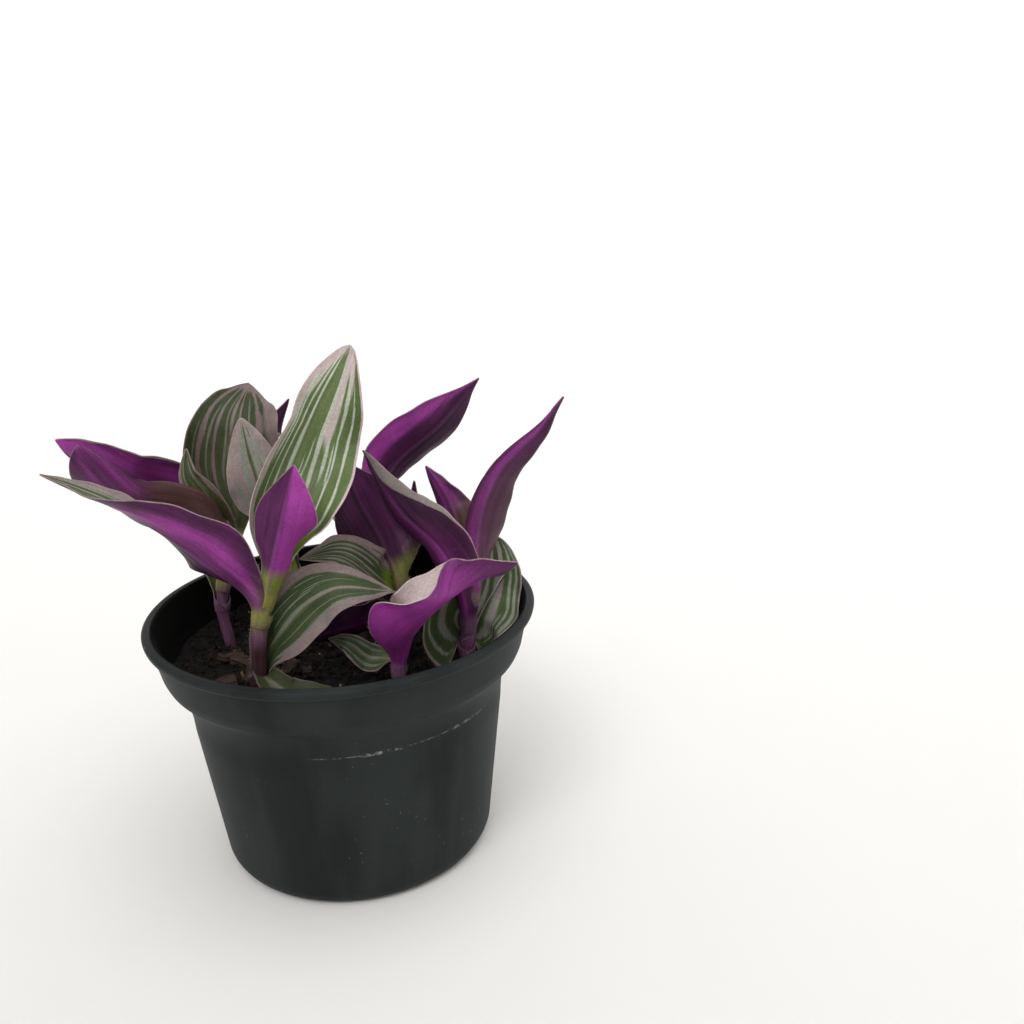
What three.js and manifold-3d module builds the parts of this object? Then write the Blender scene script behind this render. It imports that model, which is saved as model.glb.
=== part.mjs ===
// Potted tradescantia: a striped, purple-backed trailing plant in a 12 cm black nursery pot.
// Millimetres, +Z up. The origin is the middle of the pot's flat foot, X runs to the right
// and Y away from the viewer.
import * as THREE from 'three';
import { mergeVertices } from 'three/addons/utils/BufferGeometryUtils.js';
import Module from 'manifold-3d';

// Pot
const RIM_RADIUS = 60;
const POT_HEIGHT = 80;
const LIP_HEIGHT = 2.6;
const LIP_ROUNDING = 0.7;
const FOOT_RADIUS = 38;
const WALL = 1.2;
const POT_SIDES = 40;
const DRAIN_HOLES = 8;
const DRAIN_RADIUS = 3.5;
const DRAIN_CIRCLE = 29;
const DRAIN_SIDES = 12;

// The pot's wall between foot and lip, as radius and height: a rounded bottom edge, a straight
// taper, and an S-curve out to the steeper collar under the lip
const TAPER = [[41.4, 1.3], [42.9, 4], [43.5, 9], [49.2, 55.5]];
const COLLAR = [[50.3, 58.5], [52.3, 62], [54.6, 64.6], [55.7, 67], [57.8, 76.8]];
const INSIDE = [[40.8, 5], [42.4, 10], [48, 56], [51.8, 64.2], [54.3, 68.5]];

// Soil, a little below the rim
const SOIL_TOP = 64.5;
const SOIL_EDGE = 50.8;
const SOIL_RINGS = 5;
const SOIL_SIDES = 28;
const HUMP = { height: 0.9, length: 7 };
const RIPPLE = { height: 0.45, length: 3.2 };

// Bark chips, spread by a seeded draw and kept off the stems
const CHIPS = 11;
const CHIP_SIZE = [9, 5, 2.6];
const CHIP_SEED = 7;
const CHIP_SCALE = [0.6, 1.1];
const CHIP_TILT = 0.25;
const CHIP_CLEARANCE = 9;

// Plant
const STEM_FOOT = 52;
const STEM_SIDES = 8;
const STEM_STEP = 5;
const NODE_SWELLING = 0.14;
const NODE_LENGTH = 1.6;
const SHEATH = 5;
const BLADE = 0.6;
const GAP = 0.3;
const SHEATH_SLACK = 0.12;
const TIP_WIDTH = 0.6;
const WIDEST = 0.42;
const WAVE = 0.8;
const WAVES_PER_BLADE = 2.5;
const LOBE_END = 0.1;

// Faces along and across a blade, for leaves narrower than SMALL_LEAF and for the others
const SMALL_LEAF = 14;
const SMALL_GRID = [9, 4];
const LARGE_GRID = [12, 6];

// Where the shape of a blade is given between its sheath and its tip
const THIRD = 0.35;
const TWO_THIRDS = 0.65;

// How far the two halves of a blade rise from the midrib, in degrees at the margin:
// round the stem, at a third, at two thirds and at the tip
const OPEN = [82, 43, 22, 10];
const FOLDED = [82, 51, 32, 20];
const SMALLEST_BEND = 0.02;

// Directions that the upper side of a blade faces
const FRONT = [0.1, -1, 0.3];
const FRONT_UP = [0.1, -1, 0.8];
const BACK = [0, 1, 0.3];

// Each leafy stem: the points it passes above its foot in the soil, and its radius
const STEMS = {
  front_left: { line: [[-21, -27, 62], [-20, -28, 78], [-18, -28, 89], [-13, -28, 102]], radius: 2.5 },
  back_left: { line: [[-38, 6, 62], [-39, 5, 79], [-36, 6, 92], [-33, 8, 101]], radius: 2.0 },
  front: { line: [[19, -25, 62], [19, -25, 68], [20, -25, 76]], radius: 1.8 },
  right: { line: [[39, -15, 62], [39, -14, 72], [40, -13, 80], [42, -12, 91]], radius: 2.1 },
  middle_left: { line: [[-14, 14, 62], [-16, 12, 82], [-18, 9, 96], [-19, 6, 107]], radius: 2.0 },
  middle: { line: [[19, -4, 62], [20, -4, 75], [20, -5, 84], [19, -4, 92]], radius: 2.1 },
  back: { line: [[6, 22, 62], [6, 22, 80], [5, 22, 89], [4, 22, 99]], radius: 2.1 },
};

// Each leaf: the stem it clasps, the height of that node above the pot's foot, the points its
// midrib passes, its width, where the upper side faces (at the node, a third, two thirds, tip)
// and how far its halves rise there. Optional: widest, the place of the greatest width; point,
// over 1 for a drawn-out tip; lop, the share by which the right half is wider; wave, the height
// of the edge's waves; lobes, how far the margins hang below the node; turns, [half, place, spread,
// degrees] where one half bends away.
const LEAVES = {
  tall_front: {
    stem: 'front_left', node: 101, rib: [[-10.9, -24, 115.5], [-3, -17, 136.3], [10, -6, 161]],
    width: 29.6, widest: 0.35, lop: 0.21, point: 0.62, cup: [82, 74, 45, 40],
    faces: [FRONT, [0.14, -1, 0], [0.6, -1, -0.15], [-0.4, -1, 0.45]],
  },
  short_front: {
    stem: 'front_left', node: 96, rib: [[-9.5, -35, 113], [-5, -39, 126], [-2.5, -38, 135]],
    width: 17, widest: 0.64, lop: -0.1, point: 1, cup: OPEN,
    turns: [[-1, 0.42, 0.14, 60], [1, 0.26, 0.12, 40]], faces: [BACK, BACK, BACK, BACK],
  },
  long_left: {
    stem: 'front_left', node: 91, rib: [[-30, -34, 107], [-49, -32, 121], [-74, -27, 132]],
    width: 27, widest: 0.33, point: 1.1, wave: 1.2, cup: [82, 55, 50, 60],
    turns: [[-1, 0.7, 0.2, -15], [1, 0.78, 0.15, -30]],
    faces: [[0.8, 0.6, 0.4], [0, 0.9, 0.5], [0, 0.3, 0.95], [0, -0.1, 1]],
  },
  low_front: {
    stem: 'front_left', node: 71, rib: [[-12, -27, 84], [2, -27, 95], [19, -24, 93]],
    width: 22, cup: [82, 48, 30, 10], faces: [[-0.3, -0.9, 0.3], FRONT_UP, FRONT_UP, FRONT_UP],
  },
  rim: {
    stem: 'front_left', node: 70, rib: [[-10, -38, 69], [-3, -39, 70], [4, -38, 69]],
    width: 9, cup: [60, 36, 22, 10], faces: [[-0.4, 0.9, 0.3], [0, -0.5, 1], [0, -0.5, 1], [0, -0.5, 1]],
  },
  left_upper: {
    stem: 'back_left', node: 96, rib: [[-46.6, 14, 109.3], [-65.8, 10, 121.1], [-83, 6, 134]],
    width: 23.5, widest: 0.59, point: 0.92, wave: 0.5, cup: [82, 57, 15, 16],
    faces: [[0.6, 0.8, 0.3], BACK, [0.1, 1, 0.8], [-0.25, 0.8, 0.4]],
  },
  left_middle: {
    stem: 'back_left', node: 89, rib: [[-44.3, 4, 110.4], [-59, -2, 116.5], [-71, -8, 135]],
    width: 30, widest: 0.43, lop: 0.5, point: 0.66, wave: 0.5, cup: [82, 51, 60, 60],
    turns: [[-1, 0.85, 0.12, 50]],
    faces: [[0.6, 0.8, 0.3], [0.1, 1, 0.4], [0.3, 1, 0.25], [-0.5, 1, -0.2]],
  },
  back_left_broad: {
    stem: 'back_left', node: 101, rib: [[-34.6, 16, 117.8], [-32.8, 22, 136], [-30, 34, 144]],
    width: 36, widest: 0.48, lop: 0.18, point: 0.84, cup: [82, 46, 54, 5],
    faces: [FRONT, FRONT, [0, -1, 0.3], [0.2, -1, 0.6]],
  },
  young_left: {
    stem: 'back_left', node: 98, rib: [[-41, 8, 113], [-45, 8, 121], [-45, 9, 129]],
    width: 11, cup: [60, 36, 22, 10], faces: [[0.8, -0.6, 0.3], FRONT, FRONT, FRONT],
  },
  left_back: {
    stem: 'back_left', node: 82, rib: [[-47, 18, 94], [-56, 30, 98], [-66, 40, 94]],
    width: 18, cup: FOLDED, faces: [[0.6, -0.8, 0.3], [0.5, -0.4, 1], [0.5, -0.4, 1], [0.5, -0.4, 1]],
  },
  middle_pale: {
    stem: 'middle_left', node: 106, rib: [[-22, 2, 119], [-24, 2, 130], [-26, 4, 139]],
    width: 19, point: 0.8, cup: OPEN, faces: [FRONT, FRONT, FRONT, FRONT],
  },
  behind_broad: {
    stem: 'middle_left', node: 98, rib: [[-22, 26, 118], [-26, 42, 126], [-20, 46, 136]],
    width: 13, cup: FOLDED, faces: [[0.2, -1, 0.3], [0.1, 0, 1], BACK, BACK],
  },
  back_left_low: {
    stem: 'middle_left', node: 89, rib: [[-26, 32, 108], [-36, 50, 114], [-48, 66, 110]],
    width: 24, cup: FOLDED, faces: [[0.4, -0.9, 0.3], [0.3, -0.5, 1], [0.3, -0.5, 1], [0.3, -0.5, 1]],
  },
  middle_arched: {
    stem: 'middle', node: 84, rib: [[13, -12, 93], [4, -18, 103], [-7, -22, 103]],
    width: 17, cup: OPEN, faces: [[0.9, 0.3, 0.3], [0.3, -0.4, 0.8], [0, -0.7, 1], [0, -0.7, 1]],
  },
  middle_upright: {
    stem: 'middle', node: 90, rib: [[14, 0, 100], [8, 4, 111], [3, 8, 123]],
    width: 34, cup: FOLDED, faces: [[0.3, 0.9, 0.3], BACK, BACK, BACK],
  },
  middle_low: {
    stem: 'middle', node: 77, rib: [[7, -12, 78], [-2, -18, 78], [-10, -22, 78]],
    width: 13, cup: OPEN, faces: [[0.8, 0.6, 0.3], [0.2, 1, 0.3], [0, 1, 0.2], [0, 1, 0.2]],
  },
  back_right_high: {
    stem: 'back', node: 97, rib: [[16, 24, 117], [32, 26, 130], [45, 28, 144]],
    width: 20.5, widest: 0.55, lop: 0.12, point: 1.2, wave: 1.1, cup: FOLDED,
    faces: [[-0.7, 0.7, 0.3], [-0.4, 0.8, 0.3], [-0.3, 0.9, 0.3], [-0.3, 0.9, 0.3]],
  },
  young_back: {
    stem: 'back', node: 92, rib: [[17, 20, 98], [22, 20, 105], [23, 20, 113]],
    width: 6, cup: [60, 40, 32, 20], faces: [[-0.9, 0.4, 0.3], BACK, BACK, BACK],
  },
  back_centre: {
    stem: 'back', node: 82, rib: [[3, 40, 96], [0, 58, 104], [-2, 76, 100]],
    width: 26, cup: FOLDED, faces: [[0, -1, 0.3], [0, -0.6, 1], [0, -0.6, 1], [0, -0.6, 1]],
  },
  back_right_low: {
    stem: 'back', node: 77, rib: [[16, 36, 86], [28, 50, 89], [42, 58, 83]],
    width: 22, cup: FOLDED,
    faces: [[-0.8, -0.6, 0.3], [-0.4, -0.4, 1], [-0.4, -0.4, 1], [-0.4, -0.4, 1]],
  },
  right_crossing: {
    stem: 'right', node: 80, rib: [[33, -13, 100], [21, -9.5, 112.5], [11, -5, 130]],
    width: 21, cup: [82, 58, 50, 50],
    faces: [[0.3, 0.9, 0.3], [0.1, 0.8, 0.5], [0, 0.8, 0.6], [0, 0.6, 0.8]],
  },
  right_tall: {
    stem: 'right', node: 87, rib: [[43, -10, 102], [50.5, -8, 123], [62.5, -7, 134.5], [70, -6, 144]],
    width: 15, widest: 0.3, lop: -0.48, point: 1.2, cup: [82, 58, 40, 30],
    faces: [[-0.6, 0.8, 0.3], [-0.2, 1, 0.3], BACK, BACK],
  },
  right_pointed: {
    stem: 'right', node: 90, rib: [[39, -2, 101], [35, 4, 110], [28, 8, 121]],
    width: 14, cup: FOLDED, faces: [[0.2, -0.9, 0.3], [0.3, 0.4, 0.8], BACK, BACK],
  },
  right_broad: {
    stem: 'right', node: 71.5, rib: [[39, -10.3, 76], [43.9, -2, 87.3], [47, 2.9, 100]],
    width: 34, widest: 0.3, lop: -0.05, point: 0.5, lobes: 14, cup: [82, 90, 20, 24],
    faces: [FRONT, [0.05, -1, 0.55], [0.4, -1, 0.05], FRONT],
  },
  right_back: {
    stem: 'right', node: 75, rib: [[46, 4, 83], [47, 18, 86.5], [47, 30, 85]],
    width: 18, cup: FOLDED,
    faces: [[-0.5, -0.8, 0.3], [-0.5, -0.4, 1], [-0.5, -0.4, 1], [-0.5, -0.4, 1]],
  },
  goblet: {
    stem: 'front', node: 71, rib: [[23.2, -28.7, 79], [36.3, -29.4, 93], [55, -34, 104]],
    width: 36, widest: 0.36, lop: 0.03, cup: [97, 95, 40, 33],
    turns: [[1, 0.48, 0.08, -25], [1, 0.72, 0.09, 80], [-1, 0.35, 0.12, 44]],
    faces: [[-0.64, 0.77, 0.2], [-0.91, 0.26, 0.32], [-0.93, 0.11, 0.34], [-0.05, 0.91, 0.41]],
  },
  small_low: {
    stem: 'front', node: 71.5, rib: [[11, -24, 72], [5, -24, 77], [-1, -22, 78]],
    width: 9, cup: [60, 36, 22, 10], faces: [[0.9, -0.2, 0.3], [0.2, -1, 1], [0, -1, 1], [0, -1, 1]],
  },
};

const wasm = await Module();
wasm.setup();

// Solids

function toManifold(geometry) {
  const bare = geometry.index ? geometry.clone() : geometry;
  bare.deleteAttribute('normal');
  bare.deleteAttribute('uv');
  const welded = mergeVertices(bare, 1e-4);
  const corners = welded.index.array;
  const kept = [];
  for (let i = 0; i < corners.length; i += 3) {
    const [a, b, c] = corners.slice(i, i + 3);
    if (a !== b && b !== c && c !== a) {
      kept.push(a, b, c);
    }
  }
  const vertProperties = new Float32Array(welded.attributes.position.array);
  const mesh = new wasm.Mesh({ numProp: 3, vertProperties, triVerts: new Uint32Array(kept) });
  mesh.merge();
  return new wasm.Manifold(mesh);
}

function toGeometry(solid) {
  const mesh = solid.getMesh();
  const geometry = new THREE.BufferGeometry();
  geometry.setAttribute('position', new THREE.BufferAttribute(new Float32Array(mesh.vertProperties), 3));
  geometry.setIndex(Array.from(mesh.triVerts));
  geometry.computeVertexNormals();
  return geometry;
}

// A cut can leave loose scraps beside the piece, so only the largest body is kept
function largestBody(solid) {
  return solid.decompose().sort((a, b) => b.volume() - a.volume())[0];
}

function revolve(profile, sides) {
  const points = profile.map(([radius, height]) => new THREE.Vector2(radius, height));
  return toManifold(new THREE.LatheGeometry(points, sides).rotateX(Math.PI / 2));
}

function namedMesh(name, solid, colour, roughness) {
  const material = new THREE.MeshStandardMaterial({ color: colour, roughness, metalness: 0 });
  const mesh = new THREE.Mesh(toGeometry(solid), material);
  mesh.name = name;
  return mesh;
}

// Seeded random numbers from 0 to 1
function randomSource(seed) {
  let state = seed;
  return () => {
    state = (state * 16807) % 2147483647;
    return state / 2147483647;
  };
}

// Pot

function buildPot() {
  const lipBottom = [RIM_RADIUS - LIP_ROUNDING / 2, POT_HEIGHT - LIP_HEIGHT];
  const lipEdge = [RIM_RADIUS, POT_HEIGHT - LIP_ROUNDING];
  const lipTop = [RIM_RADIUS - LIP_ROUNDING, POT_HEIGHT];
  const mouth = [COLLAR[COLLAR.length - 1][0] - WALL, POT_HEIGHT];
  const outside = [[0, 0], [FOOT_RADIUS, 0], ...TAPER, ...COLLAR, lipBottom, lipEdge, lipTop];
  const inside = [[0, WALL], [FOOT_RADIUS, WALL], ...INSIDE, mouth];
  let pot = revolve([...outside, ...inside.reverse()], POT_SIDES);
  for (let i = 0; i < DRAIN_HOLES; i += 1) {
    const angle = (2 * Math.PI * (i + 0.5)) / DRAIN_HOLES;
    const hole = new THREE.CylinderGeometry(DRAIN_RADIUS, DRAIN_RADIUS, 3 * WALL, DRAIN_SIDES);
    hole.rotateX(Math.PI / 2);
    hole.translate(DRAIN_CIRCLE * Math.cos(angle), DRAIN_CIRCLE * Math.sin(angle), WALL / 2);
    pot = pot.subtract(toManifold(hole));
  }
  return pot;
}

// Lines through points

class SmoothLine extends THREE.Curve {
  constructor(points) {
    super();
    this.points = points.map((p) => new THREE.Vector3(...p));
    this.knots = [0];
    const steps = [];
    for (let i = 1; i < this.points.length; i += 1) {
      const length = this.points[i].distanceTo(this.points[i - 1]);
      steps.push(this.points[i].clone().sub(this.points[i - 1]).divideScalar(length));
      this.knots.push(this.knots[i - 1] + length);
    }
    this.chord = this.knots[this.knots.length - 1];
    this.slopes = this.points.map((point, i) => {
      if (i === 0) {
        return steps[0];
      }
      if (i === steps.length) {
        return steps[i - 1];
      }
      const before = this.knots[i] - this.knots[i - 1];
      const after = this.knots[i + 1] - this.knots[i];
      const mixed = steps[i].clone().multiplyScalar(before).addScaledVector(steps[i - 1], after);
      return mixed.divideScalar(before + after);
    });
  }

  getPoint(t, target = new THREE.Vector3()) {
    const along = THREE.MathUtils.clamp(t, 0, 1) * this.chord;
    let i = 0;
    while (i < this.knots.length - 2 && along >= this.knots[i + 1]) {
      i += 1;
    }
    const length = this.knots[i + 1] - this.knots[i];
    const u = (along - this.knots[i]) / length;
    target.set(0, 0, 0);
    target.addScaledVector(this.points[i], 2 * u ** 3 - 3 * u ** 2 + 1);
    target.addScaledVector(this.slopes[i], (u ** 3 - 2 * u ** 2 + u) * length);
    target.addScaledVector(this.points[i + 1], 3 * u ** 2 - 2 * u ** 3);
    target.addScaledVector(this.slopes[i + 1], (u ** 3 - u ** 2) * length);
    return target;
  }

  // The place, from 0 to 1, where a rising line reaches a height
  placeAtHeight(height) {
    let low = 0;
    let high = 1;
    for (let i = 0; i < 30; i += 1) {
      const middle = (low + high) / 2;
      if (this.getPoint(middle).z < height) {
        low = middle;
      } else {
        high = middle;
      }
    }
    return low;
  }
}

// Piecewise straight change of a list of values over the places in keys
function between(keys, values, place) {
  const last = keys.length - 1;
  if (place >= keys[last]) {
    return values[last];
  }
  let i = 0;
  while (i < last - 1 && place > keys[i + 1]) {
    i += 1;
  }
  const share = THREE.MathUtils.clamp((place - keys[i]) / (keys[i + 1] - keys[i]), 0, 1);
  if (typeof values[i] === 'number') {
    return THREE.MathUtils.lerp(values[i], values[i + 1], share);
  }
  return values[i].clone().lerp(values[i + 1], share);
}

// Stems

function stemLine(stem) {
  const [x, y] = stem.line[0];
  return new SmoothLine([[x, y, STEM_FOOT], ...stem.line]);
}

// Rings of points joined into a closed tube
function closedTube(rings) {
  const sides = rings[0].length;
  const positions = rings.flat().flatMap((p) => p.toArray());
  const index = [];
  for (let i = 0; i < rings.length - 1; i += 1) {
    for (let j = 0; j < sides; j += 1) {
      const a = i * sides + j;
      const b = i * sides + ((j + 1) % sides);
      index.push(a, b, b + sides, a, b + sides, a + sides);
    }
  }
  for (let j = 1; j < sides - 1; j += 1) {
    const end = (rings.length - 1) * sides;
    index.push(0, j + 1, j, end, end + j, end + j + 1);
  }
  const geometry = new THREE.BufferGeometry();
  geometry.setAttribute('position', new THREE.Float32BufferAttribute(positions, 3));
  geometry.setIndex(index);
  return toManifold(geometry);
}

function stemSolid(name, extra) {
  const stem = STEMS[name];
  const line = stemLine(stem);
  const own = Object.values(LEAVES).filter((leaf) => leaf.stem === name);
  const nodes = own.map((leaf) => leaf.node - SHEATH);
  const steps = Math.round(line.chord / STEM_STEP);
  const rings = [];
  for (let i = 0; i <= steps; i += 1) {
    const centre = line.getPoint(i / steps);
    const along = line.getTangent(i / steps);
    const right = new THREE.Vector3(0, 1, 0).cross(along).normalize();
    const forward = along.clone().cross(right);
    const swellings = nodes.map((height) => Math.exp(-(((centre.z - height) / NODE_LENGTH) ** 2)));
    const swelling = Math.max(...swellings);
    const radius = extra > 0 ? stem.radius + extra : stem.radius * (1 - NODE_SWELLING * (1 - swelling));
    const ring = [];
    for (let j = 0; j < STEM_SIDES; j += 1) {
      const angle = (2 * Math.PI * j) / STEM_SIDES;
      const point = centre.clone().addScaledVector(right, radius * Math.cos(angle));
      ring.push(point.addScaledVector(forward, radius * Math.sin(angle)));
    }
    rings.push(ring);
  }
  return closedTube(rings);
}

// Leaves

function bladeFrame(leaf) {
  const stem = STEMS[leaf.stem];
  const line = stemLine(stem);
  const hold = stem.radius + GAP + BLADE / 2 + SHEATH_SLACK;
  const outward = new THREE.Vector3(-leaf.faces[0][0], -leaf.faces[0][1], 0).normalize();
  const onStem = (height) => {
    const point = line.getPoint(line.placeAtHeight(height));
    return point.addScaledVector(outward, hold).toArray();
  };
  const rib = new SmoothLine([onStem(leaf.node - SHEATH), onStem(leaf.node), ...leaf.rib]);
  return { rib, outward, hold, start: SHEATH / rib.chord };
}

function halfWidth(leaf, frame, place) {
  const { smoothstep } = THREE.MathUtils;
  const widest = leaf.widest ?? WIDEST;
  const full = leaf.width / 2;
  const clasp = frame.hold * THREE.MathUtils.degToRad(leaf.cup[0]);
  if (place < widest) {
    return clasp + (full - clasp) * smoothstep(place, frame.start, widest);
  }
  const round = Math.cos((Math.PI / 2) * Math.min(1, (place - widest) / (1 - widest)));
  return TIP_WIDTH / 2 + (full - TIP_WIDTH / 2) * Math.max(0, round) ** (leaf.point ?? 1);
}

function bladeGrid(leaf) {
  return leaf.width < SMALL_LEAF ? SMALL_GRID : LARGE_GRID;
}

// A row of the blade's middle surface, from the left margin to the right one: place runs from 0 at
// the stem to 1 at the tip
function bladeRow(leaf, frame, place, extraWidth) {
  const keys = [0, frame.start, THIRD, TWO_THIRDS, 1];
  const inward = frame.outward.clone().negate();
  const faces = [inward, ...leaf.faces.map((face) => new THREE.Vector3(...face).normalize())];
  const centre = frame.rib.getPoint(place);
  const along = frame.rib.getTangent(place);
  const up = between(keys, faces, place);
  up.addScaledVector(along, -up.dot(along)).normalize();
  const right = along.clone().cross(up);
  const cup = THREE.MathUtils.degToRad(between(keys, [leaf.cup[0], ...leaf.cup], place));
  const half = halfWidth(leaf, frame, place) + extraWidth;
  const free = THREE.MathUtils.clamp((place - frame.start) / (1 - frame.start), 0, 1);
  const lop = (leaf.lop ?? 0) * THREE.MathUtils.smoothstep(place, frame.start, THIRD);
  const droop = (leaf.lobes ?? 0) * THREE.MathUtils.smoothstep(free, 0, LOBE_END) * (1 - free) ** 2;
  const row = [];
  const [, columns] = bladeGrid(leaf);
  for (let j = 0; j <= columns; j += 1) {
    const share = (2 * j) / columns - 1;
    let bend = cup;
    for (const [side, where, spread, degrees] of leaf.turns ?? []) {
      if (side === Math.sign(share)) {
        bend += THREE.MathUtils.degToRad(degrees) * Math.exp(-(((place - where) / spread) ** 2));
      }
    }
    bend = Math.abs(bend) < SMALLEST_BEND ? SMALLEST_BEND : bend;
    const width = half * (1 + lop * share);
    const phase = 2 * Math.PI * (WAVES_PER_BLADE * place + Math.sign(share) / 4);
    const wave = (leaf.wave ?? WAVE) * Math.sin(Math.PI * free) * Math.sin(phase) * share ** 2;
    const point = centre.clone().addScaledVector(right, (width * Math.sin(bend * share)) / bend);
    point.addScaledVector(up, (width * (1 - Math.cos(bend * share))) / bend + wave);
    row.push(point.addScaledVector(along, -droop * share ** 2));
  }
  return row;
}

// The corners round the outside of a grid of faces, in order
function gridEdge(lengths, widths) {
  const stride = widths + 1;
  const edge = [];
  for (let j = 0; j < widths; j += 1) {
    edge.push(j);
  }
  for (let i = 0; i < lengths; i += 1) {
    edge.push(i * stride + widths);
  }
  for (let j = widths; j > 0; j -= 1) {
    edge.push(lengths * stride + j);
  }
  for (let i = lengths; i > 0; i -= 1) {
    edge.push(i * stride);
  }
  return edge;
}

// A blade of even thickness, split into triangles alike on both faces; extra makes it larger all
// round, for cutting its neighbours clear
function bladeSolid(leaf, extra) {
  const frame = bladeFrame(leaf);
  const [lengths, widths] = bladeGrid(leaf);
  const rows = [];
  for (let i = 0; i <= lengths; i += 1) {
    rows.push(bladeRow(leaf, frame, i / lengths, extra / 2));
  }
  for (const [end, next] of [[0, 1], [lengths, lengths - 1]]) {
    rows[end].forEach((point, j) => {
      const outwards = point.clone().sub(rows[next][j]).normalize();
      point.addScaledVector(outwards, extra / 2);
    });
  }
  const stride = widths + 1;
  const count = rows.length * stride;
  const upper = [];
  const lower = [];
  for (let i = 0; i <= lengths; i += 1) {
    for (let j = 0; j <= widths; j += 1) {
      const ahead = rows[Math.min(i + 1, lengths)][j].clone().sub(rows[Math.max(i - 1, 0)][j]);
      const across = rows[i][Math.min(j + 1, widths)].clone().sub(rows[i][Math.max(j - 1, 0)]);
      const normal = across.cross(ahead).normalize().multiplyScalar((BLADE + extra) / 2);
      upper.push(...rows[i][j].clone().add(normal).toArray());
      lower.push(...rows[i][j].clone().sub(normal).toArray());
    }
  }
  const index = [];
  for (let i = 0; i < lengths; i += 1) {
    for (let j = 0; j < widths; j += 1) {
      const a = i * stride + j;
      const [b, c, d] = [a + 1, a + stride + 1, a + stride];
      index.push(a, b, c, a, c, d);
      index.push(count + a, count + c, count + b, count + a, count + d, count + c);
    }
  }
  const edge = gridEdge(lengths, widths);
  edge.forEach((a, k) => {
    const b = edge[(k + 1) % edge.length];
    index.push(a, count + a, count + b, a, count + b, b);
  });
  const geometry = new THREE.BufferGeometry();
  geometry.setAttribute('position', new THREE.Float32BufferAttribute([...upper, ...lower], 3));
  geometry.setIndex(index);
  return toManifold(geometry);
}

// Soil

function soilHeight(x, y) {
  const hump = HUMP.height * Math.sin(x / HUMP.length) * Math.cos(y / HUMP.length);
  return SOIL_TOP + hump + RIPPLE.height * Math.sin((x - y) / RIPPLE.length);
}

function soilBody() {
  const wall = INSIDE.filter(([radius]) => radius < SOIL_EDGE);
  const profile = [[0, WALL], [FOOT_RADIUS - GAP, WALL]];
  for (const [radius, height] of wall) {
    profile.push([radius - GAP, height]);
  }
  for (let i = SOIL_RINGS; i >= 0; i -= 1) {
    profile.push([(SOIL_EDGE * i) / SOIL_RINGS, SOIL_TOP]);
  }
  const points = profile.map(([radius, height]) => new THREE.Vector2(radius, height));
  const geometry = new THREE.LatheGeometry(points, SOIL_SIDES).rotateX(Math.PI / 2);
  const position = geometry.attributes.position;
  for (let i = 0; i < position.count; i += 1) {
    if (position.getZ(i) > SOIL_TOP - 0.01) {
      position.setZ(i, soilHeight(position.getX(i), position.getY(i)));
    }
  }
  return toManifold(geometry);
}

function buildSoil() {
  const random = randomSource(CHIP_SEED);
  let soil = soilBody();
  const stems = Object.values(STEMS).map((stem) => stem.line[0]);
  let placed = 0;
  while (placed < CHIPS) {
    const radius = (SOIL_EDGE - CHIP_SIZE[0] / 2) * Math.sqrt(random());
    const angle = 2 * Math.PI * random();
    const x = radius * Math.cos(angle);
    const y = radius * Math.sin(angle);
    const size = THREE.MathUtils.lerp(...CHIP_SCALE, random());
    const turn = Math.PI * random();
    const tilt = CHIP_TILT * (2 * random() - 1);
    if (stems.every(([sx, sy]) => Math.hypot(x - sx, y - sy) > CHIP_CLEARANCE)) {
      const [length, width, thickness] = CHIP_SIZE;
      const chip = new THREE.BoxGeometry(length * size, width * size, thickness);
      chip.rotateY(tilt);
      chip.rotateZ(turn);
      chip.translate(x, y, soilHeight(x, y));
      soil = soil.add(toManifold(chip));
      placed += 1;
    }
  }
  for (const name of Object.keys(STEMS)) {
    soil = soil.subtract(stemSolid(name, GAP));
  }
  return largestBody(soil);
}

// The whole plant, one group for each leafy stem

const plant = new THREE.Group();
plant.add(namedMesh('pot', buildPot(), 0x23282a, 0.55));
plant.add(namedMesh('soil', buildSoil(), 0x241a14, 0.95));
for (const stemName of Object.keys(STEMS)) {
  const shoot = new THREE.Group();
  const clear = stemSolid(stemName, GAP);
  shoot.add(namedMesh(`stem_${stemName}`, stemSolid(stemName, 0), 0x8a5a72, 0.5));
  const own = Object.entries(LEAVES).filter(([, leaf]) => leaf.stem === stemName);
  own.sort(([, a], [, b]) => b.node - a.node);
  const above = [];
  for (const [leafName, leaf] of own) {
    let blade = bladeSolid(leaf, 0).subtract(clear);
    for (const upper of above) {
      blade = blade.subtract(upper);
    }
    above.push(bladeSolid(leaf, 2 * GAP));
    shoot.add(namedMesh(`leaf_${leafName}`, largestBody(blade), 0x5c7a52, 0.45));
  }
  plant.add(shoot);
}

export default plant;
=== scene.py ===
import math
import random

import bmesh
import bpy
import numpy as np
from bpy.props import FloatProperty, FloatVectorProperty, IntProperty, PointerProperty
from mathutils import Matrix, Vector


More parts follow.
